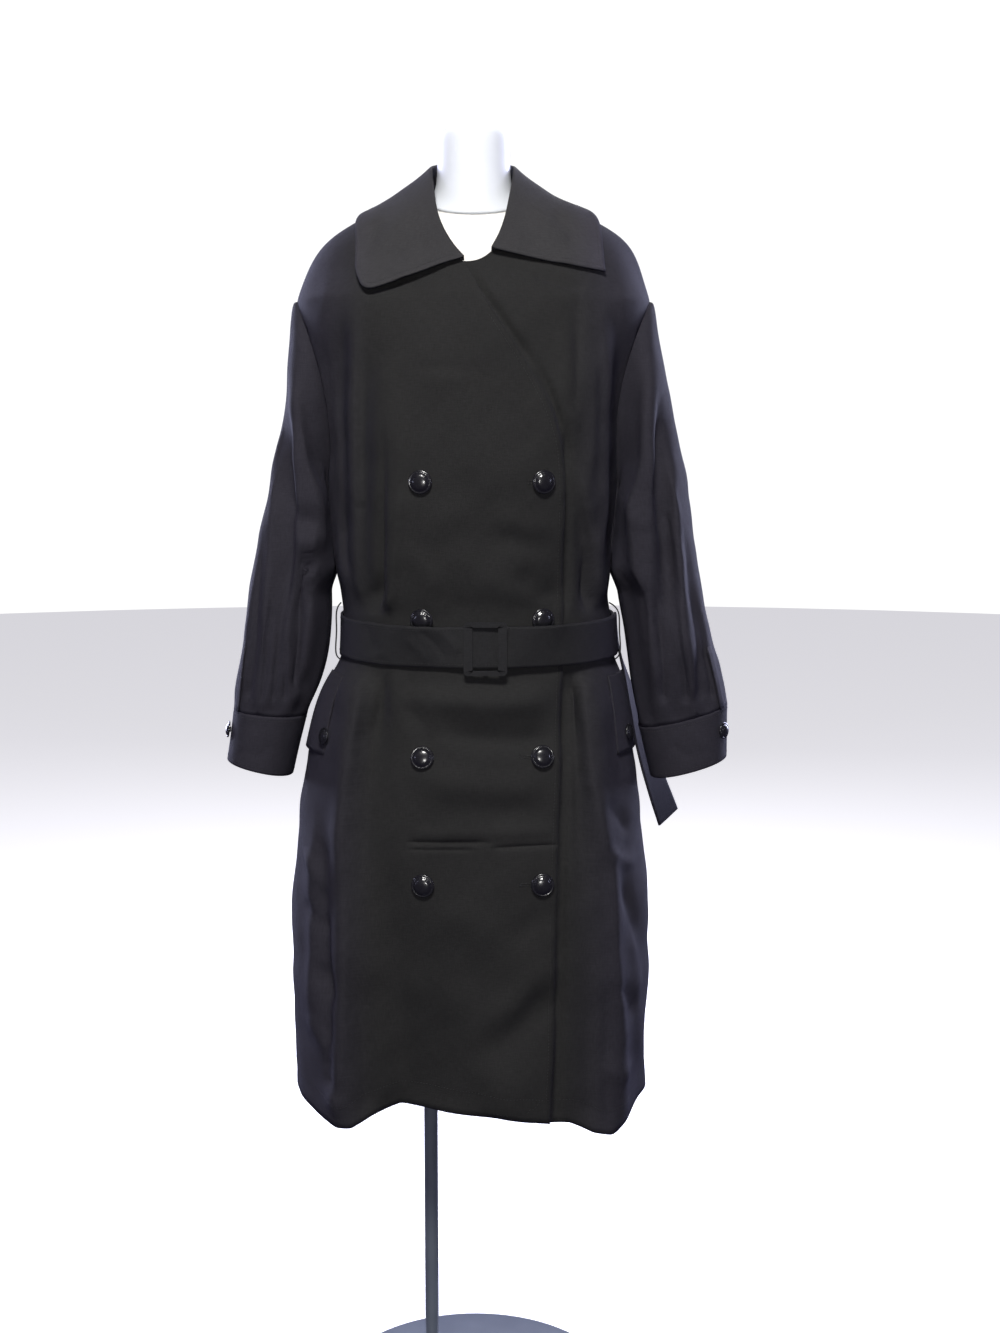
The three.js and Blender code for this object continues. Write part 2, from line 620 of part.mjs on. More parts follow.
function formRing(row, limit) {
  return Array.from({ length: FORM_POINTS }, (_, j) => {
    const a = 2 * Math.PI * j / FORM_POINTS;
    const s = Math.sin(a), c = Math.cos(a);
    const room = s < 0 ? bodyAt("right", row.z) + FORM_X : bodyAt("left", row.z) - FORM_X;
    const width = limit ? Math.min(row.width, room - SHOULDER_EASE) : row.width;
    const y = -c * (c > 0 ? row.front : row.back);
    return new Vector3(FORM_X + s * width, y, row.z + y * row.tilt);
  });
}
const onAxis = (z) => new Vector3(FORM_X, 0, z);
add("form_torso", stack(FORM.map((row) => formRing(row, true)), onAxis(FORM_BOTTOM), onAxis(1392)),
  "formCover");
add("form_neck", stack(NECK.map((row) => formRing(row, false)), onAxis(1392.4), onAxis(NECK_TOP + 1.5)),
  "neckBlock");

const SOCKET_HEIGHT = 26;
const socketTop = FORM_BOTTOM - SEAM;
const lathe = (profile, segments) => {
  const geometry = new THREE.LatheGeometry(profile.map(([r, z]) => new THREE.Vector2(r, z)), segments);
  return geometry.rotateX(Math.PI / 2);
};
const socket = add("form_socket", lathe([
  [0, 0], [13, 0], [13, SOCKET_HEIGHT - 6], [26, SOCKET_HEIGHT - 4], [26, SOCKET_HEIGHT], [0, SOCKET_HEIGHT],
], 16), "standMetal");
socket.position.set(POLE_X, POLE_Y, socketTop - SOCKET_HEIGHT);
const poleFoot = BASE_HEIGHT + 14;
const poleTop = socketTop - SOCKET_HEIGHT - SEAM;
const pole = add("pole", lathe([
  [0, poleFoot], [POLE_RADIUS, poleFoot], [POLE_RADIUS, poleTop], [0, poleTop],
], 16), "standMetal");
pole.position.set(POLE_X, POLE_Y, 0);
const foot = add("pole_foot", lathe([
  [0, BASE_HEIGHT + 0.3], [30, BASE_HEIGHT + 0.3], [30, BASE_HEIGHT + 3], [14, BASE_HEIGHT + 7],
  [14, poleFoot - 0.3], [0, poleFoot - 0.3],
], 16), "standMetal");
foot.position.set(POLE_X, POLE_Y, 0);
add("base_plate", lathe([
  [0, 0], [BASE_RADIUS, 0], [BASE_RADIUS, BASE_HEIGHT - 2], [BASE_RADIUS - 3, BASE_HEIGHT], [0, BASE_HEIGHT],
], 40), "standMetal");

// Collar: a row for each station. turn is the neckline's place in degrees, from the front past the
// wearer's right, the back and the wearer's left. The roll is the fold line's place, edge and edgeZ
// are the fall's outer edge, and bow lifts the middle of the fall's lower end.
const COLLAR = table(["turn", "rollX", "rollY", "rollZ", "edge", "edgeZ", "bow"], [
  [4, -6, -91, 1328, 48.5, 1287, 5],
  [12, -16, -88, 1339, 59.5, 1312, 2],
  [21, -25, -81, 1353, 66, 1342, 0],
  [34, -34, -69, 1374, 73, 1362, 0],
  [54, -39, -43, 1403, 81, 1374, 0],
  [90, -43, -6, 1428, 92, 1380, 0],
  [122, -41, 26, 1436, 116, 1377, 0],
  [150, -26, 48, 1441, 144, 1358, 0],
  [180, 2, 55, 1442, 180, 1350, 0],
  [210, 30, 48, 1441, 216, 1358, 0],
  [238, 45, 26, 1436, 244, 1378, 0],
  [270, 47, -6, 1428, 268, 1384, 0],
  [305, 43, -43, 1403, 279, 1374, 0],
  [323, 38, -66, 1376, 285, 1360, 0],
  [334, 32, -77, 1357, 289, 1342, 0],
  [340, 27, -82, 1346, 291, 1325, 0],
  [345.5, 21, -87, 1336, 295, 1306, 2],
]);
const LEFT_COLLAR_END = 12; // degrees to the wearer's left of the middle of the front
const FALL_STEPS = 5;
const FALL_LIFT = 3.2; // underside of the fall, above the coat
const ROLL_RADIUS = 3.2;
const COLLAR_SEAM = SEAM + 0.2; // between the collar and the neckline

function onCoat(angle, z, raise) {
  const a = wrapped(angle);
  return skin(a, z).addScaledVector(skinOut(a, z), raise + topLift(a, z));
}

// One section of the collar: up the stand on the neck's side, over the roll and down the fall
function collarSection(turn) {
  const c = Object.fromEntries(Object.keys(COLLAR[0]).map((k) => [k, at(COLLAR, "turn", k, turn)]));
  const neck = -turn * RAD, edge = -c.edge * RAD;
  const seamZ = neckZ(neck);
  const beyond = onCoat(neck - RAD, neckZ(neck - RAD), 0).sub(onCoat(neck + RAD, neckZ(neck + RAD), 0));
  const up = beyond.cross(skinOut(wrapped(neck), seamZ)).normalize();
  const seam = (raise) => onCoat(neck, seamZ, raise).addScaledVector(up, COLLAR_SEAM);
  const away = section(wrapped(neck), seamZ).out;
  const roll = new Vector3(c.rollX, c.rollY, c.rollZ);
  const beside = (reach) => {
    const place = roll.clone().addScaledVector(away, reach);
    place.z -= 0.7 * ROLL_RADIUS;
    return place;
  };
  const points = [seam(-CLOTH), beside(-ROLL_RADIUS), roll, beside(ROLL_RADIUS)];
  const lift = FALL_LIFT + COLLAR_CLOTH;
  const rise = beside(ROLL_RADIUS).sub(onCoat(neck, seamZ, lift));
  for (let i = 1; i <= FALL_STEPS; i += 1) {
    const q = i / FALL_STEPS;
    const z = lerp(seamZ, c.edgeZ, q) + c.bow * Math.sin(Math.PI * q);
    points.push(onCoat(lerp(neck, edge, q), z, lift).addScaledVector(rise, (1 - q) ** 1.6));
  }
  return { points, seamOuter: seam(COLLAR_CLOTH - CLOTH) };
}

// The way out of an open sheet of points
function sheetOut(rows, i, j) {
  const last = rows[0].length - 1;
  const across = rows[i][Math.min(j + 1, last)].clone().sub(rows[i][Math.max(j - 1, 0)]);
  const along = rows[Math.min(i + 1, rows.length - 1)][j].clone().sub(rows[Math.max(i - 1, 0)][j]);
  return across.cross(along).normalize();
}

function collar() {
  const turns = (columns) => columns(YOKE_Z).map((_, j) => -columnPlace(columns, j, 1)[0] / RAD);
  const aroundRight = turns(rightFrontColumns).reverse();
  const aroundBack = turns(backColumns).map((turn) => turn + 360).reverse().slice(1, -1);
  const aroundLeft = turns(leftFrontColumns).reverse().filter((turn) => turn < -LEFT_COLLAR_END);
  const stations = [...aroundRight, ...aroundBack, ...aroundLeft.map((turn) => turn + 360)];
  const sections = stations.map(collarSection);
  const outer = sections.map((s) => s.points);
  const inner = outer.map((row, i) => row.map((p, j) => {
    if (j === 0) return sections[i].seamOuter;
    return p.clone().addScaledVector(sheetOut(outer, i, j), COLLAR_CLOTH);
  }));
  return wall(outer, inner, false);
}
add("collar", collar(), "collarCloth");

// Pocket welts: upright strips beside the side seams, under the belt, on the fronts' own points
const WELT = { rows: [795, 835, 862, 880], columns: [1, 2, 3, 4], lift: 0.5 };
function welt(columns, fromSide) {
  const layer = (raise) => WELT.rows.map((z) => WELT.columns.map((j) => {
    const angle = fromSide(columns(z), j);
    return onCoat(angle, z, raise);
  }));
  return wall(layer(WELT.lift + WELT_CLOTH), layer(WELT.lift), false);
}
add("welt_right", welt(rightFrontColumns, (list, j) => list[j]), "cloth");
add("welt_left", welt(leftFrontColumns, (list, j) => list[list.length - 1 - j]), "cloth");

// Belt: a band round the waist, closed behind the buckle
const BELT_STEPS = 54;
const BELT_LIFT = 1.4;
const BUCKLE = { x: 16, z: 918, width: 46, height: 57, rail: 5, side: 9, depth: 3.2, bar: 1.6, gap: 0.7 };
const BUCKLE_ROOM = 3; // the belt passes over the buckle's bar
const BUTTON_ROOM = 9; // and over the lower half of two buttons
const beltZ = (angle) => BELT_Z - BELT_DROP * (0.5 + 0.5 * Math.cos(angle));
const LAP_UNDER_BELT = { reach: 0.35, ease: 0.3 }; // radians beyond the fronts' edges
const near = (x, place, flatHalf, ease) => smooth((flatHalf + ease - Math.abs(x - place)) / ease);

function beltPoint(angle, height, raise) {
  const a = wrapped(angle);
  const z = beltZ(a) + height;
  const s = section(a, z);
  const { reach, ease } = LAP_UNDER_BELT;
  const lap = smooth((a - underEdge(z) + reach) / ease) * smooth((overEdge(z) + reach - a) / ease);
  const front = Math.abs(a) < Math.PI / 2 ? 1 : 0;
  const buttons = near(s.x, BUTTON_X.right, 15, 13) + near(s.x, BUTTON_X.left, 15, 13);
  const upper = smooth((height + BELT_HEIGHT / 4) / (BELT_HEIGHT * 0.6));
  const lift = BELT_LIFT + LAP * lap + front * BUCKLE_ROOM * near(s.x, BUCKLE.x, 24, 16)
    + front * BUTTON_ROOM * upper * buttons;
  return new Vector3(s.x, s.y, z).addScaledVector(s.out, lift + raise);
}
const BELT_HEIGHTS = [-0.5, 0, 0.5].map((part) => part * BELT_HEIGHT);
const beltAngle = (j) => 2 * Math.PI * j / BELT_STEPS;
const beltRows = (raise) => BELT_HEIGHTS.map((height) =>
  Array.from({ length: BELT_STEPS }, (_, j) => beltPoint(beltAngle(j), height, raise)));
add("belt", wall(beltRows(BELT_CLOTH), beltRows(0), true), "cloth");

// The belt's free end lies on the belt from the buckle to the wearer's left side, turns down there
// and hangs behind the sleeve.
const END_LIFT = BELT_CLOTH + 0.5;
const END_FROM = 4, END_TO = 14; // steps of the belt
const TURN_RADIUS = 26;
const HANG = table(["x", "y", "z", "wideX", "wideY", "wideZ"], [
  [181, 48, 848, 4, 21, 2],
  [195, 50, 790, 8, 20, 3],
  [213, 54, 738, 11, 18, 5],
  [229, 57, 694, 12, 17, 6],
]);
function freeEnd() {
  const onBelt = (raise) => {
    const rows = [];
    for (let j = END_FROM; j <= END_TO; j += 1) {
      rows.push(BELT_HEIGHTS.map((height) => beltPoint(beltAngle(j), height, END_LIFT + raise)));
    }
    return rows;
  };
  const last = onBelt(0).pop();
  const middles = [last[1]], halves = [last[2].clone().sub(last[0]).multiplyScalar(0.5)];
  for (const turn of [25, 50, 75, 95]) {
    const s = Math.sin(turn * RAD), c = Math.cos(turn * RAD);
    middles.push(last[1].clone().add(new Vector3(0.07 * turn, TURN_RADIUS * s, TURN_RADIUS * (c - 1))));
    halves.push(new Vector3(0, s, c).multiplyScalar(BELT_HEIGHT / 2));
  }
  for (const h of HANG) {
    middles.push(new Vector3(h.x, h.y, h.z));
    halves.push(new Vector3(h.wideX, h.wideY, h.wideZ).setLength(BELT_HEIGHT / 2));
  }
  const hanging = (raise) => middles.slice(1).map((m, k) => {
    const i = k + 1;
    const along = middles[Math.min(i + 1, middles.length - 1)].clone().sub(middles[i - 1]);
    const out = along.cross(halves[i]).normalize();
    return [-1, 0, 1].map((part) => m.clone().addScaledVector(halves[i], part).addScaledVector(out, raise));
  });
  const layer = (raise) => [...onBelt(raise), ...hanging(raise)];
  return wall(layer(BELT_CLOTH), layer(0), false);
}
add("belt_end", freeEnd(), "cloth");

// Buckle: a cloth-covered frame with its bar behind the belt
const wasm = await Module();
wasm.setup();
function toManifold(geometry) {
  const plain = geometry.clone();
  plain.deleteAttribute("normal");
  plain.deleteAttribute("uv");
  const merged = mergeVertices(plain, 1e-4);
  return new wasm.Manifold(new wasm.Mesh({
    numProp: 3,
    vertProperties: new Float32Array(merged.attributes.position.array),
    triVerts: new Uint32Array(merged.index.array),
  }));
}
function fromManifold(body) {
  const { vertProperties, triVerts } = body.getMesh();
  const geometry = new THREE.BufferGeometry();
  geometry.setAttribute("position", new THREE.BufferAttribute(vertProperties, 3));
  geometry.setIndex(new THREE.BufferAttribute(triVerts, 1));
  geometry.computeVertexNormals();
  return geometry;
}
function roundedRectangle(Outline, width, height, radius) {
  const x = width / 2, y = height / 2;
  const outline = new Outline();
  outline.moveTo(radius - x, -y).lineTo(x - radius, -y);
  outline.absarc(x - radius, radius - y, radius, -Math.PI / 2, 0, false);
  outline.absarc(x - radius, y - radius, radius, 0, Math.PI / 2, false);
  outline.absarc(radius - x, y - radius, radius, Math.PI / 2, Math.PI, false);
  outline.absarc(radius - x, radius - y, radius, Math.PI, 1.5 * Math.PI, false);
  return outline;
}
const frameShape = roundedRectangle(THREE.Shape, BUCKLE.width, BUCKLE.height, 4);
const hole = [BUCKLE.width - 2 * BUCKLE.side, BUCKLE.height - 2 * BUCKLE.rail];
frameShape.holes.push(roundedRectangle(THREE.Path, ...hole, 1.5));
const frame = new THREE.ExtrudeGeometry(frameShape, {
  depth: BUCKLE.depth - 1.6, bevelEnabled: true, bevelThickness: 0.8, bevelSize: 0.8, bevelOffset: -0.8,
  bevelSegments: 1, curveSegments: 3,
}).translate(0, 0, 0.8);
const beltAtBuckle = beltPoint(angleAtX(BUCKLE.x, BUCKLE.z, 1), 0, 0);
const BAR_WIDTH = 5;
const POST_HEIGHT = BUCKLE.rail - 1.4;
const barBack = -BELT_CLOTH - 2 * BUCKLE.gap - BUCKLE.bar; // behind the frame's back face
const barHeight = BUCKLE.height - 2;
const bar = new THREE.BoxGeometry(BAR_WIDTH, barHeight, BUCKLE.bar).translate(0, 0, barBack + BUCKLE.bar / 2);
const posts = [-1, 1].map((end) => new THREE.BoxGeometry(BAR_WIDTH, POST_HEIGHT, 1 - barBack)
  .translate(0, end * (barHeight - POST_HEIGHT) / 2, (barBack + 1) / 2));
const buckleBody = [bar, ...posts].reduce((sum, g) => sum.add(toManifold(g)), toManifold(frame));
const buckle = add("buckle", fromManifold(buckleBody), "collarCloth");
buckle.rotation.x = Math.PI / 2;
buckle.position.set(BUCKLE.x, beltAtBuckle.y - BELT_CLOTH - BUCKLE.gap, BUCKLE.z);

// Belt loops: a thread chain at each side seam, round the belt
const LOOP_RADIUS = 1;
for (const [name, side] of [["right", -1], ["left", 1]]) {
  const angle = side * 84 * RAD;
  const out = section(angle, BELT_Z).out;
  const onBody = (height, reach) => skin(angle, BELT_Z + height).addScaledVector(out, reach);
  const over = BELT_LIFT + BELT_CLOTH + (side > 0 ? END_LIFT : 2) + 1.9;
  const route = new THREE.CatmullRomCurve3([onBody(32, 2), onBody(31, 4), onBody(23, over),
    onBody(0, over + 0.4), onBody(-25, over), onBody(-31, 4), onBody(-32, 1)]);
  const round = new THREE.Shape();
  round.absarc(0, 0, LOOP_RADIUS, 0, 2 * Math.PI, false);
  add(`belt_loop_${name}`, new THREE.ExtrudeGeometry(round, {
    steps: 14, curveSegments: 3, bevelEnabled: false, extrudePath: route,
  }), "cloth");
}

// Buttons: a low dome with a rim, on a short shank, seated on the cloth under a place
const pointer = new THREE.Raycaster();
function button(name, size, piece, place, out) {
  const { radius, dome, sides } = size;
  pointer.set(place.clone().addScaledVector(out, radius), out.clone().negate());
  const [seat] = pointer.intersectObject(coat.getObjectByName(piece));
  const geometry = lathe([
    [0, 0], [SHANK_RADIUS, 0], [SHANK_RADIUS, SHANK_HEIGHT], [radius - 0.6, SHANK_HEIGHT + 0.4],
    [radius, SHANK_HEIGHT + 1.5], [radius - 1.6, SHANK_HEIGHT + 0.55 * dome],
    [radius * 0.5, SHANK_HEIGHT + 0.9 * dome], [0, SHANK_HEIGHT + dome],
  ], sides);
  const mesh = add(name, geometry, "button");
  mesh.quaternion.setFromUnitVectors(new Vector3(0, 0, 1), seat.face.normal);
  mesh.position.copy(seat.point).addScaledVector(seat.face.normal, BUTTON_SEAT);
}
for (const [name, x] of Object.entries(BUTTON_X)) {
  BUTTON_ROWS.forEach((z, i) => {
    const angle = angleAtX(x, z, 1);
    button(`button_${name}_${i + 1}`, BUTTON, "front_right", onCoat(angle, z, 0), skinOut(angle, z));
  });
}
const POCKET_BUTTONS = { z: 815, right: -158, left: 171 };
for (const name of ["right", "left"]) {
  const angle = angleAtX(POCKET_BUTTONS[name], POCKET_BUTTONS.z, 1);
  const place = onCoat(angle, POCKET_BUTTONS.z, WELT.lift + WELT_CLOTH);
  button(`pocket_button_${name}`, SMALL_BUTTON, `welt_${name}`, place, skinOut(angle, POCKET_BUTTONS.z));
}
const CUFF_BUTTONS = { right: 14, left: 38 }; // degrees from the cuff's outer side towards the front
const CUFF_BUTTON_DOWN = 0.42; // share of the cuff's height above the button
for (const [name, degrees] of Object.entries(CUFF_BUTTONS)) {
  const side = name === "right" ? -1 : 1;
  const end = ringRow(SLEEVES[name], 1);
  const cuffPoint = (down, turn) => {
    const row = RING_COLUMNS.slice(1).map((c) => [c, lerp(end[c], CUFF_END[name][c], down)]);
    return ringPoint(Object.fromEntries(row), side, turn * RAD, CUFF_GROW);
  };
  const place = cuffPoint(CUFF_BUTTON_DOWN, degrees);
  const ahead = cuffPoint(CUFF_BUTTON_DOWN, degrees + 1).sub(place);
  const along = cuffPoint(1, degrees).sub(cuffPoint(0, degrees));
  const out = ahead.cross(along).multiplyScalar(side).normalize();
  button(`cuff_button_${name}`, SMALL_BUTTON, `cuff_${name}`, place, out);
}

export default coat;
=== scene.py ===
import math

import bmesh
import bpy
import numpy as np
from mathutils import Matrix, Vector
from mathutils.bvhtree import BVHTree


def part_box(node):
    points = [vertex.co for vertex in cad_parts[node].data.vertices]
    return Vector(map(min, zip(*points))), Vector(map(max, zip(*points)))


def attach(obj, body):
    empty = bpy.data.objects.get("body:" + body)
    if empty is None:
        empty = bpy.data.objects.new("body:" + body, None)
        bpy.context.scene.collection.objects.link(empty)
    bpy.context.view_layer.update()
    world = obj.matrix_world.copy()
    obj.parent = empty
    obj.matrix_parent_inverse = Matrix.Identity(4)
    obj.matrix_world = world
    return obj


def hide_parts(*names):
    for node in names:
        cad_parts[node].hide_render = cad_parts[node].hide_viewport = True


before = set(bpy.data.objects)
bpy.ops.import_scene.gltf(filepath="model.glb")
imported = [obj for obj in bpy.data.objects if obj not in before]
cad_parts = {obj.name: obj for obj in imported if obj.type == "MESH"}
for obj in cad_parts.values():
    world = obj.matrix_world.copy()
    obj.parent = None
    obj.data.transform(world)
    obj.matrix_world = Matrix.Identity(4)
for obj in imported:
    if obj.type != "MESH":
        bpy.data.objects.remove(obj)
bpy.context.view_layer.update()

# The stand: a round steel plate on the floor, a turned foot on it, a straight tube and the socket that
# the form is pushed on to. All of it is steel, painted slate grey with a satin finish.


class Reading:
    """One output of a material's nodes, which takes part in arithmetic."""

    def __init__(self, finish, socket):
        self.finish = finish
        self.socket = socket

    def maths(self, operation, *values):
        return self.finish.node("ShaderNodeMath", {"operation": operation}, dict(enumerate(values)))

    def __add__(self, other):
        return self.maths("ADD", self, other)

    def __radd__(self, other):
        return self.maths("ADD", other, self)

    def __sub__(self, other):
        return self.maths("SUBTRACT", self, other)

    def __rsub__(self, other):
        return self.maths("SUBTRACT", other, self)

    def __mul__(self, other):
        return self.maths("MULTIPLY", self, other)

    def __rmul__(self, other):
        return self.maths("MULTIPLY", other, self)

    def __pow__(self, other):
        return self.maths("POWER", self, other)

    def sine(self):
        return self.maths("SINE", self)

    def size(self):
        return self.maths("ABSOLUTE", self)

    def between(self, low, high):
        return self.finish.node(
            "ShaderNodeMapRange",
            {"interpolation_type": "SMOOTHSTEP"},
            {"Value": self, "From Min": low, "From Max": high},
        )


class Finish:
    """A procedural material. What is the same all over it is set on the shader's own sockets."""

    def __init__(self, name, **constants):
        self.material = bpy.data.materials.new(name)
        self.material.use_nodes = True
        self.tree = self.material.node_tree
        self.shader = self.tree.nodes["Principled BSDF"]
        for key, value in constants.items():
            self.shader.inputs[key.replace("_", " ")].default_value = value

    def node(self, kind, settings=None, inputs=None, output=0):
        made = self.tree.nodes.new(kind)
        for key, value in (settings or {}).items():
            if key == "stops":
                for place, colour in value[:-2]:
                    made.color_ramp.elements.new(place).color = colour
                made.color_ramp.elements[0].position, made.color_ramp.elements[0].color = value[-2]
                made.color_ramp.elements[-1].position, made.color_ramp.elements[-1].color = value[-1]
            else:
                setattr(made, key, value)
        for key, value in (inputs or {}).items():
            if isinstance(value, Reading):
                self.tree.links.new(value.socket, made.inputs[key])
            else:
                made.inputs[key].default_value = value
        return Reading(self, made.outputs[output])

    def place(self):
        return self.node("ShaderNodeTexCoord", output="Object")

    def along(self, vector):
        split = self.node("ShaderNodeSeparateXYZ", {}, {"Vector": vector})
        outputs = split.socket.node.outputs
        return [Reading(self, outputs[axis]) for axis in ("X", "Y", "Z")]

    def noise(self, vector, scale, detail=2.0, roughness=0.5):
        return self.node(
            "ShaderNodeTexNoise", {}, {"Vector": vector, "Scale": scale, "Detail": detail, "Roughness": roughness}
        )

    def stretched(self, vector, scale):
        return self.node("ShaderNodeMapping", {}, {"Vector": vector, "Scale": scale})

    def shade(self, dark, light, amount):
        dark, light = (*dark, 1), (*light, 1)
        mixed = self.node("ShaderNodeMix", {"data_type": "RGBA"}, {0: amount, 6: dark, 7: light}, 2)
        return mixed

    def bumps(self, height, distance, strength=1.0):
        return self.node("ShaderNodeBump", {}, {"Height": height, "Distance": distance, "Strength": strength})

    def feed(self, **readings):
        for key, reading in readings.items():
            self.tree.links.new(reading.socket, self.shader.inputs[key.replace("_", " ")])
        return self.material


def slate_paint():
    finish = Finish("slate_paint", Roughness=0.36, Coat_Weight=0.25, Coat_Roughness=0.2)
    place = finish.place()
    mottle = finish.noise(place, 34, 4)
    peel = finish.noise(place, 900, 3)
    rub = finish.noise(finish.stretched(place, (60, 60, 9)), 3, 5).between(0.6, 0.78)
    return finish.feed(
        Base_Color=finish.shade((0.085, 0.1, 0.125), (0.12, 0.138, 0.165), mottle),
        Roughness=0.34 + 0.08 * peel + 0.06 * rub,
        Normal=finish.bumps(peel, 0.00006),
    )


def turned(profile, steps):
    """A piece turned on a lathe, from its profile's radii and heights in metres."""
    bm = bmesh.new()
    line = [bm.verts.new((radius, 0, height)) for radius, height in profile]
    edges = [bm.edges.new(pair) for pair in zip(line, line[1:])]
    bmesh.ops.spin(bm, geom=line + edges, cent=(0, 0, 0), axis=(0, 0, 1), dvec=(0, 0, 0),
                   angle=2 * math.pi, steps=steps, use_merge=True)
    bmesh.ops.remove_doubles(bm, verts=bm.verts, dist=1e-6)
    bmesh.ops.dissolve_degenerate(bm, edges=bm.edges, dist=1e-7)
    bmesh.ops.recalc_face_normals(bm, faces=bm.faces)
    return bm


def eased(bm, radius, segments=3, above=30):
    """Rounds the edges that are sharper than an angle."""
    sharp = [e for e in bm.edges if len(e.link_faces) == 2 and math.degrees(e.calc_face_angle(0)) > above]
    bmesh.ops.bevel(bm, geom=sharp, offset=radius, offset_type="OFFSET", segments=segments, profile=0.5,
                    affect="EDGES", material=-1, clamp_overlap=True)
    return bm


def piece_of(name, bm, material, node=None, sharp=50):
    """Makes the finished piece from its mesh, on the root body, in place of its node."""
    mesh = bpy.data.meshes.new(name)
    bm.to_mesh(mesh)
    bm.free()
    mesh.shade_smooth()
    mesh.set_sharp_from_angle(angle=math.radians(sharp))
    mesh.materials.append(material)
    piece = bpy.data.objects.new(name, mesh)
    bpy.context.scene.collection.objects.link(piece)
    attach(piece, "root")
    if node:
        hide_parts(node)
    return piece


steel = slate_paint()
PLATE_RADIUS, PLATE_HEIGHT, PLATE_CHAMFER = 0.175, 0.008, 0.003
plate = turned([(0, 0), (PLATE_RADIUS, 0), (PLATE_RADIUS, PLATE_HEIGHT - 0.002),
                (PLATE_RADIUS - PLATE_CHAMFER, PLATE_HEIGHT), (0, PLATE_HEIGHT)], 144)
piece_of("stand_plate", eased(plate, 0.0007), steel, "base_plate")

pole_low, pole_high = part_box("pole")
POLE_AXIS = (pole_low + pole_high) / 2
on_pole = Matrix.Translation((POLE_AXIS.x, POLE_AXIS.y, 0))
foot_low, foot_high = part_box("pole_foot")
foot = turned([(0, foot_low.z), (0.03, foot_low.z), (0.03, foot_low.z + 0.0027), (0.0145, foot_low.z + 0.0062),
               (0.0142, foot_high.z), (0, foot_high.z)], 64)
bmesh.ops.transform(foot, matrix=on_pole, verts=foot.verts)
piece_of("stand_foot", eased(foot, 0.0006), steel, "pole_foot")

tube = turned([(0, pole_low.z), (0.008, pole_low.z), (0.008, pole_high.z), (0, pole_high.z)], 48)
bmesh.ops.transform(tube, matrix=on_pole, verts=tube.verts)
piece_of("stand_pole", eased(tube, 0.0005), steel, "pole")

socket_low, socket_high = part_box("form_socket")
socket = turned([(0, socket_low.z), (0.013, socket_low.z), (0.013, socket_high.z - 0.006),
                 (0.026, socket_high.z - 0.004), (0.026, socket_high.z), (0, socket_high.z)], 64)
bmesh.ops.transform(socket, matrix=on_pole, verts=socket.verts)
piece_of("stand_socket", eased(socket, 0.0006), steel, "form_socket")

# The dress form: a limbless torso of moulded foam in a stretched white jersey cover that is sewn at the
# sides, with a smooth painted neck block on it. The coat hangs from its shoulders.


def merged(node):
    """A copy of a node's mesh with its loose triangles joined."""
    bm = bmesh.new()
    bm.from_mesh(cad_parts[node].data)
    bmesh.ops.remove_doubles(bm, verts=bm.verts, dist=1e-5)
    return bm


def in_quads(bm):
    bmesh.ops.join_triangles(bm, faces=bm.faces, angle_face_threshold=math.radians(60),
                             angle_shape_threshold=math.radians(70))
    return bm


def held(bm, above):
    """Keeps the edges that are sharper than an angle when the mesh is made finer."""
    weight = bm.edges.layers.float.new("crease_edge")
    for e in bm.edges:
        if len(e.link_faces) == 2 and math.degrees(e.calc_face_angle(0)) > above:
            e[weight] = 1.0
    return bm


def finer(piece, levels):
    """Subdivides a piece smoothly and keeps the result."""
    step = piece.modifiers.new("finer", "SUBSURF")
    step.levels = step.render_levels = levels
    step.boundary_smooth = "PRESERVE_CORNERS"
    seen = piece.evaluated_get(bpy.context.evaluated_depsgraph_get())
    fine = bpy.data.meshes.new_from_object(seen)
    piece.modifiers.clear()
    piece.data = fine
    fine.shade_smooth()
    return piece


def form_jersey():
    finish = Finish("form_jersey", Roughness=0.85, Sheen_Weight=0.2, Sheen_Roughness=0.5)
    place = finish.place()
    x, y, z = finish.along(place)
    knit = (x * 5200).sine() * (z * 3700).sine()
    cloud = finish.noise(place, 18, 3)
    seam = y.size().between(0, 0.0011)
    return finish.feed(
        Base_Color=finish.shade((0.72, 0.7, 0.655), (0.83, 0.815, 0.775), cloud * 0.5 + seam * 0.5),
        Normal=finish.bumps(knit * 0.25 + seam * 2.0, 0.0003),
    )


def neck_paint():
    finish = Finish("neck_paint", Roughness=0.5, Coat_Weight=0.1)
    place = finish.place()
    cloud = finish.noise(place, 40, 4)
    return finish.feed(
        Base_Color=finish.shade((0.69, 0.725, 0.765), (0.76, 0.79, 0.83), cloud),
        Roughness=0.46 + 0.1 * cloud,
        Normal=finish.bumps(finish.noise(place, 700, 2), 0.00004),
    )


torso = piece_of("form_body", held(in_quads(merged("form_torso")), 40), form_jersey(), "form_torso", 80)
finer(torso, 2)
neck = piece_of("form_neck_block", held(in_quads(merged("form_neck")), 50), neck_paint(), "form_neck", 60)
finer(neck, 2)

# The fronts and the back: one panel each of black cotton cloth with its facing, sewn together at the
# sides and shoulders. The wearer's right front closes over the left one; the belt gathers all three.
COAT_CLOTH = 0.002


def table(columns, *rows):
    return [dict(zip(columns.split(), row)) for row in rows]


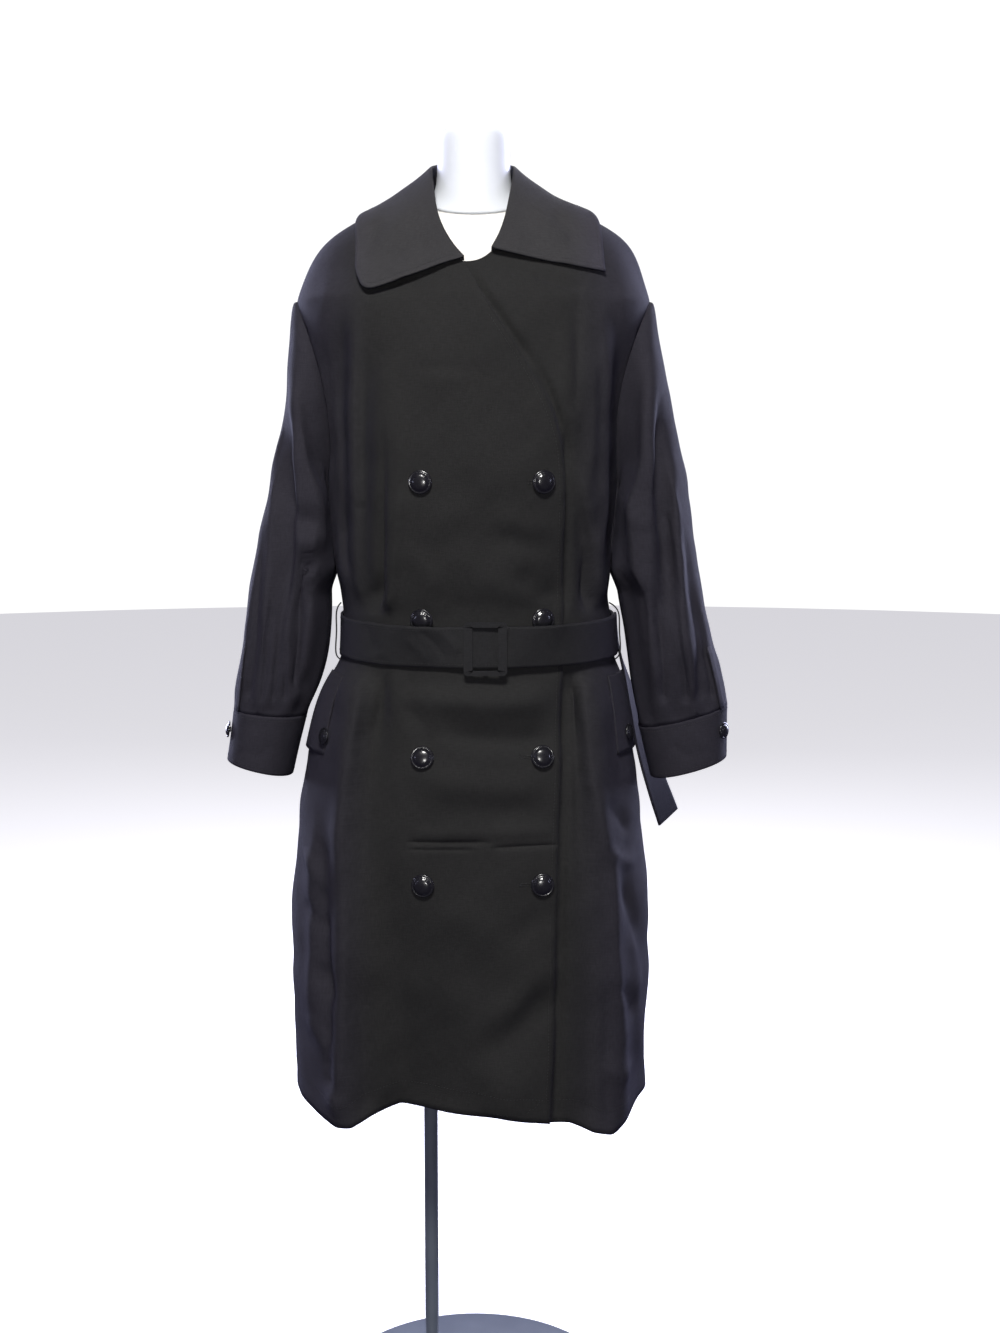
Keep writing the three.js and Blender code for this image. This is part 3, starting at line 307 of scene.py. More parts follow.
def outer_layer(node, limit=50, towards=None):
    """The outer face of a node's cloth, in quads. It is the widest layer, or the one that faces a way."""
    bm = merged(node)
    left = set(bm.faces)
    layers = []
    while left:
        layer = [left.pop()]
        for face in layer:
            for edge in face.edges:
                if math.degrees(edge.calc_face_angle(0)) < limit:
                    beside = [f for f in edge.link_faces if f in left]
                    left.difference_update(beside)
                    layer.extend(beside)
        layers.append(layer)
    layers = sorted(layers, key=lambda layer: -sum(f.calc_area() for f in layer))[:2]
    if towards:
        layers.sort(key=lambda layer: -sum(f.calc_area() * f.normal.dot(towards(f.calc_center_median()))
                                           for f in layer))
    kept = set(layers[0])
    bmesh.ops.delete(bm, geom=[f for f in bm.faces if f not in kept], context="FACES")
    return in_quads(bm)


def read(piece):
    """A piece's points and the ways out of it, as arrays."""
    mesh = piece.data
    points = np.empty(3 * len(mesh.vertices), np.float32)
    ways = np.empty(3 * len(mesh.vertices), np.float32)
    mesh.vertices.foreach_get("co", points)
    mesh.vertex_normals.foreach_get("vector", ways)
    return points.reshape(-1, 3).astype(float), ways.reshape(-1, 3).astype(float)


def write(piece, points):
    piece.data.vertices.foreach_set("co", points.astype(np.float32).ravel())
    piece.data.update()
    return piece


def ease(t):
    t = np.clip(t, 0, 1)
    return t * t * (3 - 2 * t)


# A crease runs from one place to another, seen from the front or the back, in millimetres. It stands out
# (height above 0) or sinks in, bows sideways, and may be sharp (1) and lean to one side (-1 to 1).
CREASE = "face x0 z0 x1 z1 bow height width start end sharp lean"


def creased(piece, creases, calm, together=False):
    """Moves a piece's points along its own ways out, by all the creases that cross them. Pieces that are
    sewn together move together, straight forward and back."""
    points, ways = read(piece)
    move = np.zeros(len(points))
    if together:
        ways = np.outer(ease((-points[:, 1] - 0.01) / 0.03), (0, -1, 0))
    for c in creases:
        from_, to = np.array([c["x0"], c["z0"]]) / 1000, np.array([c["x1"], c["z1"]]) / 1000
        length = np.linalg.norm(to - from_)
        line = (to - from_) / length
        off = points[:, [0, 2]] - from_
        t = off @ line / length
        side = off @ np.array([-line[1], line[0]]) - c["bow"] / 1000 * 4 * t * (1 - t)
        wide = side * 1000 / c["width"] / (1 + 0.7 * c["lean"] * np.sign(side))
        ridge = np.exp(-np.abs(wide) ** (2 - 0.8 * c["sharp"]))
        ends = ease(t / c["start"]) * ease((1 - t) / c["end"]) * (t > 0) * (t < 1)
        facing = 1 if together else ease((-c["face"] * ways[:, 1] - 0.05) / 0.4)
        move += c["height"] / 1000 * ridge * ends * facing
    return write(piece, points + ways * (move * calm(points))[:, None])


def rippled(piece, amount, calm):
    """Adds the cloth's slight waviness."""
    points, ways = read(piece)
    x, y, z = points.T
    wave = (np.sin(31 * x + 17 * z + 3 * np.sin(23 * z)) + 0.8 * np.sin(47 * z - 29 * y + 2 * np.sin(37 * x))
            + 0.5 * np.sin(83 * x + 41 * z + 2 * np.sin(71 * y + 1.3)) + 0.3 * np.sin(131 * z - 97 * x + 5 * y)
            + 0.16 * np.sin(230 * x + 60 * y + 3 * np.sin(67 * z)))
    return write(piece, points + ways * (amount * wave * calm(points))[:, None])


def weave_map(piece, across, up, round_=0.0):
    """Lays the weave on a piece: across and up are lengths on the cloth, in metres."""
    points, _ = read(piece)
    mesh = piece.data
    corner = np.empty(len(mesh.loops), np.int64)
    mesh.loops.foreach_get("vertex_index", corner)
    u, v = across(points)[corner], up(points)[corner]
    if round_:
        count = np.empty(len(mesh.polygons), np.int64)
        mesh.polygons.foreach_get("loop_total", count)
        top = np.repeat(np.maximum.reduceat(u, np.concatenate([[0], np.cumsum(count)[:-1]])), count)
        u = np.where(top - u > round_ / 2, u + round_, u)
    layer = mesh.uv_layers.get("weave") or mesh.uv_layers.new(name="weave")
    layer.data.foreach_set("uv", np.column_stack([u, v]).astype(np.float32).ravel())
    return piece


# How much lighter and bluer the cotton is painted at the coat's sides, as painted sheen: factors on red, green and
# blue.
SIDE_SHEEN_FACTORS = (1.3, 1.23, 1.62)


def coat_cotton(name, dark, light, thread=0.0008):
    """Black cotton in a close plain weave with slubs. Towards the coat's sides its colour is painted lighter and
    bluer, as painted sheen for the cool light on the turned-away sides.
    """
    finish = Finish(name, Sheen_Weight=0.022, Sheen_Roughness=0.3, Sheen_Tint=(0.6, 0.56, 1.0, 1),
                    Specular_IOR_Level=0.1)
    weave = finish.node("ShaderNodeUVMap", {"uv_map": "weave"})
    u, v, _ = finish.along(weave)
    turn = 2 * math.pi / thread
    threads = (u * turn).sine() * (v * turn).sine()
    warp = finish.noise(finish.stretched(weave, (900, 110, 1)), 1, 3)
    weft = finish.noise(finish.stretched(weave, (100, 800, 1)), 1, 3)
    slubs = warp * 0.5 + weft * 0.5
    cloud = finish.noise(finish.place(), 7, 4)
    lightness = (slubs - 0.5) * 1.5 + (cloud - 0.5) * 0.5 + threads * 0.14 + 0.5
    plain = finish.shade(dark, light, lightness)
    # A lighter, bluer copy of the cloth's colour, mixed in from 95 to 170 mm out to either side: painted sheen on the
    # sides.
    painted_side_sheen = finish.shade([a * b for a, b in zip(dark, SIDE_SHEEN_FACTORS)], [a * b for a, b in zip(light, SIDE_SHEEN_FACTORS)], lightness)
    side_sheen_mask = finish.along(finish.place())[0].size().between(0.095, 0.17)
    return finish.feed(
        Base_Color=finish.node("ShaderNodeMix", {"data_type": "RGBA"}, {0: side_sheen_mask, 6: plain, 7: painted_side_sheen}, 2),
        Roughness=0.74 + 0.14 * slubs,
        Normal=finish.bumps(threads * 0.35 + slubs * 1.2, 0.00035, 0.8),
    )


cotton = coat_cotton("coat_cotton", (0.013, 0.013, 0.0129), (0.0268, 0.0266, 0.0262))


def on_body(points):
    return np.arctan2(points[:, 0], -points[:, 1]) * 0.165


def on_back(points):
    return np.arctan2(-points[:, 0], points[:, 1]) * 0.165


def level(points):
    return points[:, 2]


def cut_rows(bm, heights):
    for height in heights:
        bmesh.ops.bisect_plane(bm, geom=bm.verts[:] + bm.edges[:] + bm.faces[:], plane_co=(0, 0, height),
                               plane_no=(0, 0, 1))
    return bm


def cloth_shell(name, bm, levels, material, node, thickness=COAT_CLOTH):
    """A thin shell of cloth on a node's outer face, finer than the node."""
    piece = finer(piece_of(name, bm, material, node, 180), levels)
    shell = piece.modifiers.new("cloth", "SOLIDIFY")
    shell.thickness = thickness
    shell.offset = -1
    shell.use_even_offset = False
    return piece


# Under the belt, and close to the form's shoulders and the sleeves, the panels stay as they are.
BELT_MIDDLE, BELT_HALF = 0.921, 0.024


def body_calm(points):
    x, y, z = points.T
    belt = ease((np.abs(z - BELT_MIDDLE) - BELT_HALF) / 0.03)
    shoulder = 1 - ease((z - 1.29) / 0.05)
    arm = ease((np.abs(x) - 0.15) / 0.016) * ease((z - 0.8) / 0.05)
    return belt * shoulder * (1 - 0.85 * arm)


def armhole_calm(points):
    return ease((points[:, 2] - 0.975) / 0.03) * (1 - ease((points[:, 2] - 1.17) / 0.14))


# The deep folds beside the armholes cross from the fronts to the sleeves.
ARMHOLE_CREASES = table(
    CREASE,
    (1, -133, 1318, -135, 975, -4, -27.0, 15, 0.3, 0.2, 0.1, -0.65),
    (1, 157, 1300, 155, 975, 1, -28.0, 15, 0.3, 0.2, 0.1, 0.65),
)
FRONT_CREASES = table(
    CREASE,
    # the ridge inside each armhole's fold
    (1, -118, 1306, -119, 950, -2, 6.0, 7, 0.4, 0.1, 0.3, -0.3),
    (1, 141, 1290, 142, 950, 1, 5.0, 7, 0.3, 0.1, 0.3, 0.3),
    # the long folds of the chest that run into the belt
    (1, -90, 1190, -101, 944, 2, -14.0, 10, 0.8, 0.04, 0.3, -0.6),
    (1, -74, 1206, -88, 948, 7, 4.6, 9, 0.4, 0.06, 0.4, -0.3),
    (1, 114, 1296, 108, 1150, 3, -4.0, 7, 0.3, 0.4, 0.2, -0.5),
    (1, 128, 1240, 124, 1070, 2, 4.0, 8, 0.3, 0.3, 0.2, 0.0),
    (1, 112, 1122, 121, 985, 7, 5.0, 7, 0.3, 0.3, 0.3, 0.3),
    (1, 116, 1090, 127, 946, 3, -13.0, 7.5, 0.6, 0.04, 0.3, -0.3),
    (1, 134, 1050, 136, 950, 1, 4.0, 5, 0.3, 0.1, 0.2, 0.0),
    # the chest between them
    (1, -64, 1212, 28, 1208, 1, -1.3, 4, 0.2, 0.4, 0.6, 0.0),
    (1, -58, 1200, 10, 1196, 1, 1.2, 9, 0.3, 0.4, 0.0, 0.0),
    (1, 36, 1176, 68, 1120, 3, -1.4, 10, 0.3, 0.3, 0.0, 0.0),
    (1, -40, 1045, 40, 1003, 8, -3.6, 22, 0.4, 0.4, 0.0, 0.0),
    (1, 20, 1066, 92, 1044, -5, 2.8, 15, 0.4, 0.4, 0.0, 0.0),
    (1, 10, 1046, 94, 1022, -4, -3.0, 12, 0.4, 0.3, 0.0, 0.0),
    (1, -70, 1030, -30, 968, 4, 3.0, 14, 0.4, 0.3, 0.0, 0.0),
    (1, 52, 1010, 88, 962, -4, -3.4, 12, 0.4, 0.3, 0.0, 0.0),
    (1, 8, 990, 84, 958, 5, 2.6, 13, 0.4, 0.3, 0.0, 0.0),
    # the shade under the collar's lower edge
    (1, -114, 1288, -12, 1318, 2, -3.4, 6, 0.15, 0.3, 0.2, 0.0),
    (1, 62, 1312, 124, 1296, -2, -3.4, 6, 0.2, 0.15, 0.2, 0.0),
    # gathers that the belt pushes up, and those that fall from it
    (1, -84, 948, -80, 1002, 2, 2.6, 5, 0.1, 0.6, 0.3, 0.0),
    (1, -40, 948, -46, 984, 1, 2.2, 6, 0.1, 0.6, 0.2, 0.0),
    (1, -14, 948, -8, 978, 0, -2.0, 6, 0.1, 0.6, 0.2, 0.0),
    (1, 40, 948, 36, 990, -1, 2.2, 6, 0.1, 0.6, 0.2, 0.0),
    (1, 90, 948, 90, 1006, 1, -2.4, 5, 0.1, 0.6, 0.3, 0.0),
    (1, -94, 897, -104, 812, 1, -6.0, 7, 0.1, 0.6, 0.3, 0.3),
    (1, -60, 896, -74, 862, 2, -3.4, 5, 0.15, 0.6, 0.5, 0.0),
    (1, 110, 897, 112, 800, -1, -5.0, 7, 0.1, 0.5, 0.4, 0.3),
    # the roll across the front under the belt, and the hollow below it
    (1, -84, 868, 96, 862, -5, 7.0, 14, 0.3, 0.2, 0.0, 0.0),
    (1, -52, 834, 94, 820, -7, -8.5, 14, 0.35, 0.2, 0.1, 0.3),
    (1, -70, 862, -34, 782, 6, -4.0, 12, 0.3, 0.5, 0.0, 0.0),
    (1, -74, 786, 92, 770, -6, 5.0, 17, 0.3, 0.2, 0.0, 0.0),
    (1, -60, 742, 92, 738, 4, -2.6, 14, 0.4, 0.2, 0.0, 0.0),
    # where the skirt was folded for storage
    (1, -68, 710, 26, 711, 0, -2.6, 2.4, 0.05, 0.2, 0.8, 0.0),
    (1, -66, 702, 8, 703, 0, -1.6, 2.0, 0.06, 0.2, 0.8, 0.0),
    (1, 22, 704, 92, 706, 1, -2.6, 2.6, 0.15, 0.06, 0.8, 0.0),
    (1, -68, 720, 92, 722, 0, 1.6, 7, 0.1, 0.1, 0.0, 0.0),
    # the skirt's long ridges at both sides, and the hollows inside them
    (1, -112, 897, -141, 640, -7, 9.0, 10, 0.12, 0.3, 0.5, -0.5),
    (1, -94, 880, -116, 620, -5, -6.0, 12, 0.2, 0.4, 0.1, 0.0),
    (1, -139, 700, -150, 402, 6, 7.0, 10, 0.3, 0.1, 0.3, -0.3),
    (1, -160, 720, -154, 430, -4, -7.5, 8, 0.3, 0.2, 0.4, 0.0),
    (1, -174, 770, -180, 470, 5, 6.0, 9, 0.4, 0.3, 0.2, 0.0),
    (1, -122, 580, -116, 402, 3, -5.4, 12, 0.5, 0.1, 0.0, 0.0),
    (1, -96, 620, -84, 402, -3, 4.0, 16, 0.5, 0.1, 0.0, 0.0),
    (1, 118, 897, 155, 650, -6, 9.0, 10, 0.12, 0.3, 0.5, 0.5),
    (1, 109, 895, 128, 620, -4, -6.4, 10, 0.1, 0.4, 0.2, 0.0),
    (1, 150, 710, 168, 470, -3, 7.4, 9, 0.25, 0.25, 0.5, 0.3),
    (1, 163, 520, 172, 402, 2, 5.0, 9, 0.3, 0.1, 0.3, 0.0),
    (1, 160, 680, 186, 560, 3, -5.4, 8, 0.4, 0.4, 0.3, 0.0),
    (1, 176, 660, 192, 430, -4, 5.4, 9, 0.4, 0.2, 0.2, 0.0),
    (1, 124, 640, 128, 402, 3, -5.4, 12, 0.4, 0.1, 0.0, 0.0),
    (1, 146, 570, 150, 402, 2, -4.6, 9, 0.4, 0.1, 0.2, 0.0),
    # small crumples low at both sides
    (1, -186, 690, -158, 640, 4, 4.0, 7, 0.3, 0.3, 0.4, 0.3),
    (1, -184, 636, -152, 600, -3, -4.0, 7, 0.3, 0.3, 0.4, 0.0),
    (1, -176, 566, -148, 520, 4, -4.0, 7, 0.3, 0.3, 0.4, 0.0),
    (1, -182, 506, -146, 470, -4, 4.4, 8, 0.3, 0.3, 0.3, 0.0),
    (1, -166, 450, -136, 432, 3, -3.4, 7, 0.3, 0.3, 0.3, 0.0),
    (1, 142, 752, 176, 700, 3, -3.6, 7, 0.3, 0.3, 0.4, 0.0),
    (1, 146, 700, 184, 668, -3, 3.6, 7, 0.3, 0.3, 0.3, 0.0),
    (1, 154, 550, 180, 500, 4, -4.0, 7, 0.3, 0.3, 0.4, 0.0),
    (1, 146, 476, 182, 446, -4, 4.2, 8, 0.3, 0.3, 0.3, 0.0),
    # the soft drag lines to the lower front edge
    (1, -8, 452, 92, 548, -5, -5.6, 17, 0.4, 0.2, 0.0, 0.0),
    (1, 8, 500, 90, 586, -4, 4.6, 16, 0.4, 0.2, 0.0, 0.0),
    (1, 30, 600, 92, 640, -3, -2.6, 14, 0.4, 0.2, 0.0, 0.0),
    (1, -50, 640, 40, 600, 6, 3.0, 20, 0.4, 0.4, 0.0, 0.0),
    (1, -30, 580, -38, 402, 3, -3.4, 22, 0.5, 0.1, 0.0, 0.0),
    (1, 30, 470, 36, 402, 2, 2.6, 18, 0.5, 0.1, 0.0, 0.0),
)
# The underlap sinks beside the overlap's edge, which leaves a dark line along it.
UNDERLAP_CREASES = table(
    CREASE,
    (1, -6, 1322, 78, 1200, -2, -6.5, 5.0, 0.2, 0.3, 0.2, 0.3),
    (1, 64, 1226, 104, 1120, 4, -6.0, 4.5, 0.35, 0.3, 0.2, 0.3),
    (1, 103.5, 1165, 101.5, 944, 0, -6.5, 4.5, 0.2, 0.03, 0.2, 0.3),
    (1, 102, 898, 93, 396, 0, -6.0, 5.0, 0.03, 0.02, 0.2, 0.3),
)
BACK_CREASES = table(
    CREASE,
    (-1, -150, 1210, -92, 950, 8, 3.0, 10, 0.3, 0.1, 0.2, 0.3),
    (-1, -128, 1160, -76, 950, 6, -2.6, 8, 0.3, 0.1, 0.3, 0.0),
    (-1, -70, 1090, -46, 950, 3, 2.4, 9, 0.4, 0.1, 0.2, 0.0),
    (-1, -30, 1050, -22, 950, 1, -2.0, 7, 0.4, 0.1, 0.3, 0.0),
    (-1, 12, 1080, 10, 950, -1, 2.2, 9, 0.4, 0.1, 0.2, 0.0),
    (-1, 56, 1060, 38, 950, -2, -2.2, 8, 0.4, 0.1, 0.3, 0.0),
    (-1, 96, 1130, 70, 950, -5, 2.6, 10, 0.3, 0.1, 0.2, -0.3),
    (-1, 148, 1200, 98, 950, -8, 3.0, 9, 0.3, 0.1, 0.2, -0.3),
    (-1, 124, 1150, 84, 950, -5, -2.4, 8, 0.3, 0.1, 0.3, 0.0),
    (-1, -104, 1262, 100, 1258, 4, -1.6, 14, 0.3, 0.3, 0.0, 0.0),
    (-1, -60, 1180, 70, 1196, -6, 1.2, 22, 0.4, 0.4, 0.0, 0.0),
    (-1, -112, 893, -128, 610, -5, 3.0, 10, 0.15, 0.4, 0.2, 0.4),
    (-1, -88, 893, -98, 700, -3, -2.4, 8, 0.15, 0.5, 0.3, 0.0),
    (-1, -58, 893, -64, 640, 2, 2.4, 9, 0.15, 0.4, 0.2, 0.0),
    (-1, -30, 893, -34, 740, 1, -2.0, 7, 0.15, 0.5, 0.3, 0.0),
    (-1, 4, 893, 0, 660, -2, 2.2, 9, 0.15, 0.4, 0.2, 0.0),
    (-1, 36, 893, 42, 720, 1, -2.2, 8, 0.15, 0.5, 0.3, 0.0),
    (-1, 66, 893, 72, 600, 3, 2.6, 10, 0.15, 0.4, 0.2, -0.3),
    (-1, 96, 893, 108, 700, 3, -2.4, 8, 0.15, 0.5, 0.3, 0.0),
    (-1, 122, 893, 140, 560, 5, 3.0, 10, 0.15, 0.4, 0.2, -0.4),
    (-1, -120, 620, -132, 402, 4, -2.6, 14, 0.4, 0.1, 0.0, 0.0),
    (-1, -40, 640, -46, 402, -3, 2.4, 16, 0.4, 0.1, 0.0, 0.0),
    (-1, 52, 620, 58, 402, 3, -2.4, 15, 0.4, 0.1, 0.0, 0.0),
    (-1, 150, 600, 160, 402, -4, 2.6, 13, 0.4, 0.1, 0.0, 0.0),
    (-1, -150, 706, 150, 709, 2, -1.3, 2.8, 0.1, 0.1, 1.0, 0.0),
)
# How far the hem hangs below (above 0) its level, by the place across the front and the back.
HEM_DROP = table(
    "x front back",
    (-210, -8, -8), (-192, 0, 0), (-172, 8, 5), (-150, 15, 8), (-132, 14, 4), (-110, 2, -2),
    (-78, -11, -6), (-50, -11, 0), (-10, -9, 3), (30, -7, 1), (84, 2, -4), (108, 7, -1), (134, 20, 4),
    (156, 25, 8), (174, 20, 9), (190, 9, 9), (210, 4, 4),
)


def hung(piece, face):
    """Lets the hem hang as unevenly as the photo's does."""
    points, ways = read(piece)
    column = "front" if face > 0 else "back"
    drop = np.interp(points[:, 0] * 1000, [row["x"] for row in HEM_DROP], [row[column] for row in HEM_DROP])
    points[:, 2] -= drop / 1000 * (1 - ease((points[:, 2] - 0.4) / 0.16))
    return write(piece, points)


def open_edges(piece):
    """The pairs of vertices along a piece's open edges."""
    count = {}
    for face in piece.data.polygons:
        for key in face.edge_keys:
            count[key] = count.get(key, 0) + 1
    return np.array([key for key, faces in count.items() if faces == 1])


def sewn_to(piece, others, reach=0.006, spread=0.002, above=0.0):
    """Brings a piece's open edges to those of the pieces that it is sewn to, and eases the cloth beside."""
    starts, ends = [], []
    for other in others:
        places = read(other)[0]
        pairs = open_edges(other)
        starts.append(places[pairs[:, 0]])
        ends.append(places[pairs[:, 1]])
    a, b = np.concatenate(starts), np.concatenate(ends)
    points, _ = read(piece)
    own = np.unique(open_edges(piece))
    own = own[points[own, 2] > above]
    shifts, kept = [], []
    for i in own:
        t = np.clip(((points[i] - a) * (b - a)).sum(1) / ((b - a) ** 2).sum(1).clip(1e-12), 0, 1)
        off = a + (b - a) * t[:, None] - points[i]
        shift = off[np.argmin((off ** 2).sum(1))]
        if np.linalg.norm(shift) < reach:
            shifts.append(shift)
            kept.append(i)
    seam, shifts = points[kept], np.array(shifts)
    for i in np.flatnonzero(points[:, 2] > above):
        away = ((seam - points[i]) ** 2).sum(1)
        if away.min() < spread ** 2:
            weight = 1 / (away + 1e-8) ** 2
            follow = 1 - ease(math.sqrt(away.min()) / spread)
            points[i] += (shifts * weight[:, None]).sum(0) / weight.sum() * follow
    return write(piece, points)


outward = {"body": lambda at: Vector((at.x, at.y, 0)).normalized()}
STORAGE_ROWS = (0.6965, 0.7025, 0.7085, 0.7145)
front_right = cloth_shell("right_front", cut_rows(outer_layer("front_right"), STORAGE_ROWS), 3, cotton, "front_right")
front_left = cloth_shell("left_front", cut_rows(outer_layer("front_left"), STORAGE_ROWS), 3, cotton, "front_left")
back = cloth_shell("back_panel", outer_layer("back"), 3, cotton, "back")
creased(front_left, UNDERLAP_CREASES, body_calm)
for panel in (front_right, front_left):
    creased(panel, ARMHOLE_CREASES, armhole_calm, True)
    hung(rippled(creased(panel, FRONT_CREASES, body_calm), 0.0008, body_calm), 1)
    weave_map(panel, on_body, level)
hung(rippled(creased(back, BACK_CREASES, body_calm), 0.0008, body_calm), -1)
sewn_to(back, [front_right, front_left])
weave_map(back, on_back, level)

# The sleeves: one piece of the coat's cloth each, eased into the armhole and laid in pleats into the
# cuff, with a narrow bound strip at the opening above each cuff.
SLEEVE_CREASES = {
    "right": table(
        CREASE,
        (1, -188, 1240, -167, 990, -3, 8.0, 9, 0.3, 0.35, 0.4, -0.3),
        (1, -197, 1180, -200, 920, -3, -15.0, 12, 0.35, 0.3, 0.2, -0.3),
        (1, -216, 1120, -232, 880, 5, 7.0, 8, 0.3, 0.2, 0.4, 0.3),
        (1, -176, 1030, -190, 852, -5, -11.0, 9, 0.35, 0.12, 0.3, 0.0),
        (1, -188, 1040, -203, 856, -3, 5.4, 6, 0.35, 0.2, 0.3, 0.0),
        (1, -226, 1060, -250, 846, 3, -4.0, 5, 0.5, 0.05, 0.6, 0.2),
        (1, -216, 990, -234, 846, 2, -4.0, 4, 0.5, 0.05, 0.6, 0.2),
        (1, -206, 980, -220, 846, 2, -3.8, 4, 0.5, 0.05, 0.6, 0.2),
        (1, -200, 960, -208, 846, 1, -3.4, 3.6, 0.5, 0.05, 0.6, 0.2),
        (1, -238, 1010, -260, 850, 2, 2.4, 6, 0.4, 0.2, 0.3, 0.0),
        (1, -212, 1085, -172, 1030, 4, -3.4, 7, 0.35, 0.35, 0.3, 0.0),
        (1, -208, 1060, -176, 1008, 4, 2.0, 8, 0.35, 0.35, 0.2, 0.0),
        (-1, -190, 1215, -186, 1000, 6, 4.0, 10, 0.25, 0.35, 0.2, -0.4),
        (-1, -206, 1150, -222, 900, 4, -3.8, 8, 0.3, 0.25, 0.3, 0.0),
        (-1, -224, 1080, -242, 856, -3, 3.4, 8, 0.35, 0.15, 0.3, 0.0),
        (-1, -190, 1030, -204, 862, -4, 3.2, 7, 0.35, 0.15, 0.3, 0.0),
        (-1, -212, 990, -228, 846, 2, -3.6, 4, 0.5, 0.05, 0.6, 0.2),
    ),
    "left": table(
        CREASE,
        (1, 190, 1262, 183, 990, 3, 9.0, 9, 0.3, 0.35, 0.5, 0.3),
        (1, 202, 1210, 221, 930, -4, -14.0, 11, 0.35, 0.3, 0.2, 0.4),
        (1, 212, 1130, 232, 880, 4, 7.0, 8, 0.3, 0.2, 0.4, -0.3),
        (1, 226, 1080, 256, 846, 4, -4.4, 6, 0.4, 0.05, 0.5, 0.0),
        (1, 190, 1040, 204, 856, -4, 3.6, 7, 0.35, 0.2, 0.3, 0.0),
        (1, 200, 990, 213, 846, 2, -4.2, 4, 0.5, 0.05, 0.6, -0.2),
        (1, 218, 980, 237, 846, 2, -4.4, 4, 0.5, 0.05, 0.6, -0.2),
        (1, 244, 980, 269, 848, 2, -3.8, 4, 0.5, 0.05, 0.6, -0.2),
        (1, 228, 950, 246, 850, 1, 2.4, 5, 0.4, 0.1, 0.3, 0.0),
        (1, 182, 1010, 192, 860, 3, -3.0, 6, 0.35, 0.15, 0.3, 0.0),
        (-1, 204, 1215, 206, 1000, -6, 4.0, 10, 0.25, 0.35, 0.2, 0.4),
        (-1, 222, 1150, 242, 900, -4, -3.8, 8, 0.3, 0.25, 0.3, 0.0),
        (-1, 240, 1080, 262, 860, 3, 3.6, 8, 0.35, 0.15, 0.3, 0.0),
        (-1, 204, 1030, 214, 862, 4, 3.2, 7, 0.35, 0.15, 0.3, 0.0),
        (-1, 226, 990, 244, 846, 2, -3.6, 4, 0.5, 0.05, 0.6, -0.2),
    ),
}
# The sleeve's middle line, seen from the front, and how far round it is.
SLEEVE_LINE = table("z right left", (1290, -180, 184), (1100, -192, 202), (950, -204, 216), (750, -238, 248))
SLEEVE_ROUND = 0.36


def sleeve_calm(side):
    def calm(points):
        head = 1 - ease((points[:, 2] - 1.17) / 0.09)
        cuff = ease((points[:, 2] - 0.838) / 0.02)
        middle = np.interp(points[:, 2] * -1000, [-r["z"] for r in SLEEVE_LINE], [r[side] for r in SLEEVE_LINE])
        outer = ease((abs(points[:, 0]) * 1000 - abs(middle) + 40) / 18)
        return head * cuff * (0.15 + 0.85 * outer)
    return calm


def filled(sleeve, side, bodies, most=0.011, clear=0.0012):
    """Lets a sleeve's inner side swell until it all but touches the body above the waist."""
    points, ways = read(sleeve)
    inward = Vector((1 if side == "right" else -1, 0, 0))
    trees = [BVHTree.FromPolygons([v.co for v in body.data.vertices], [p.vertices for p in body.data.polygons])
             for body in bodies]
    amount = ease((points[:, 2] - 0.965) / 0.035) * (1 - ease((points[:, 2] - 1.06) / 0.06))
    amount *= ease((ways @ np.array(inward) - 0.15) / 0.5)
    for i in np.flatnonzero(amount > 0.001):
        hits = [tree.ray_cast(Vector(points[i]), inward, 0.05)[3] for tree in trees]
        room = min([hit for hit in hits if hit is not None], default=0.0)
        points[i] += np.array(inward) * max(0.0, min(most * amount[i], (room - clear) * amount[i]))
    return write(sleeve, points)


def round_sleeve(side):
    def across(points):
        middle = np.interp(points[:, 2] * -1000, [-r["z"] for r in SLEEVE_LINE], [r[side] for r in SLEEVE_LINE])
        away = (points[:, 0] * 1000 - middle) * (1 if side == "left" else -1)
        return np.arctan2(points[:, 1] * 1000, away) * SLEEVE_ROUND / (2 * math.pi)
    return across


sleeves = {}
for side in ("right", "left"):
    sleeve = cloth_shell(f"{side}_sleeve", outer_layer(f"sleeve_{side}"), 3, cotton, f"sleeve_{side}")
    creased(sleeve, ARMHOLE_CREASES, armhole_calm, True)
    rippled(creased(sleeve, SLEEVE_CREASES[side], sleeve_calm(side)), 0.0008, sleeve_calm(side))
    body = [front_right if side == "right" else front_left, back]
    sewn_to(filled(sleeve, side, body), body, 0.02, 0.035, 1.0)
    weave_map(sleeve, round_sleeve(side), level, SLEEVE_ROUND)
    sleeves[side] = sleeve
    strip = piece_of(f"{side}_placket", held(in_quads(merged(f"placket_{side}")), 50), cotton,
                     f"placket_{side}", 180)
    weave_map(finer(strip, 2), round_sleeve(side), level)

# The cuffs: a doubled band of the same cloth round the end of each sleeve, buttoned on the outside.
CUFF_CLOTH = 0.0026
CUFF_CREASES = {
    "right": table(
        CREASE,
        (1, -222, 806, -246, 782, 3, -0.9, 6, 0.3, 0.3, 0.2, 0.0),
        (1, -240, 822, -258, 790, 2, 0.8, 7, 0.3, 0.3, 0.0, 0.0),
        (-1, -216, 800, -250, 794, 3, -0.8, 8, 0.3, 0.3, 0.0, 0.0),
    ),
    "left": table(
        CREASE,
        (1, 222, 806, 246, 784, -3, -0.9, 6, 0.3, 0.3, 0.2, 0.0),
        (1, 240, 824, 262, 792, -2, 0.8, 7, 0.3, 0.3, 0.0, 0.0),
        (-1, 220, 800, 256, 794, 3, -0.8, 8, 0.3, 0.3, 0.0, 0.0),
    ),
}


def always(points):
    return np.ones(len(points))


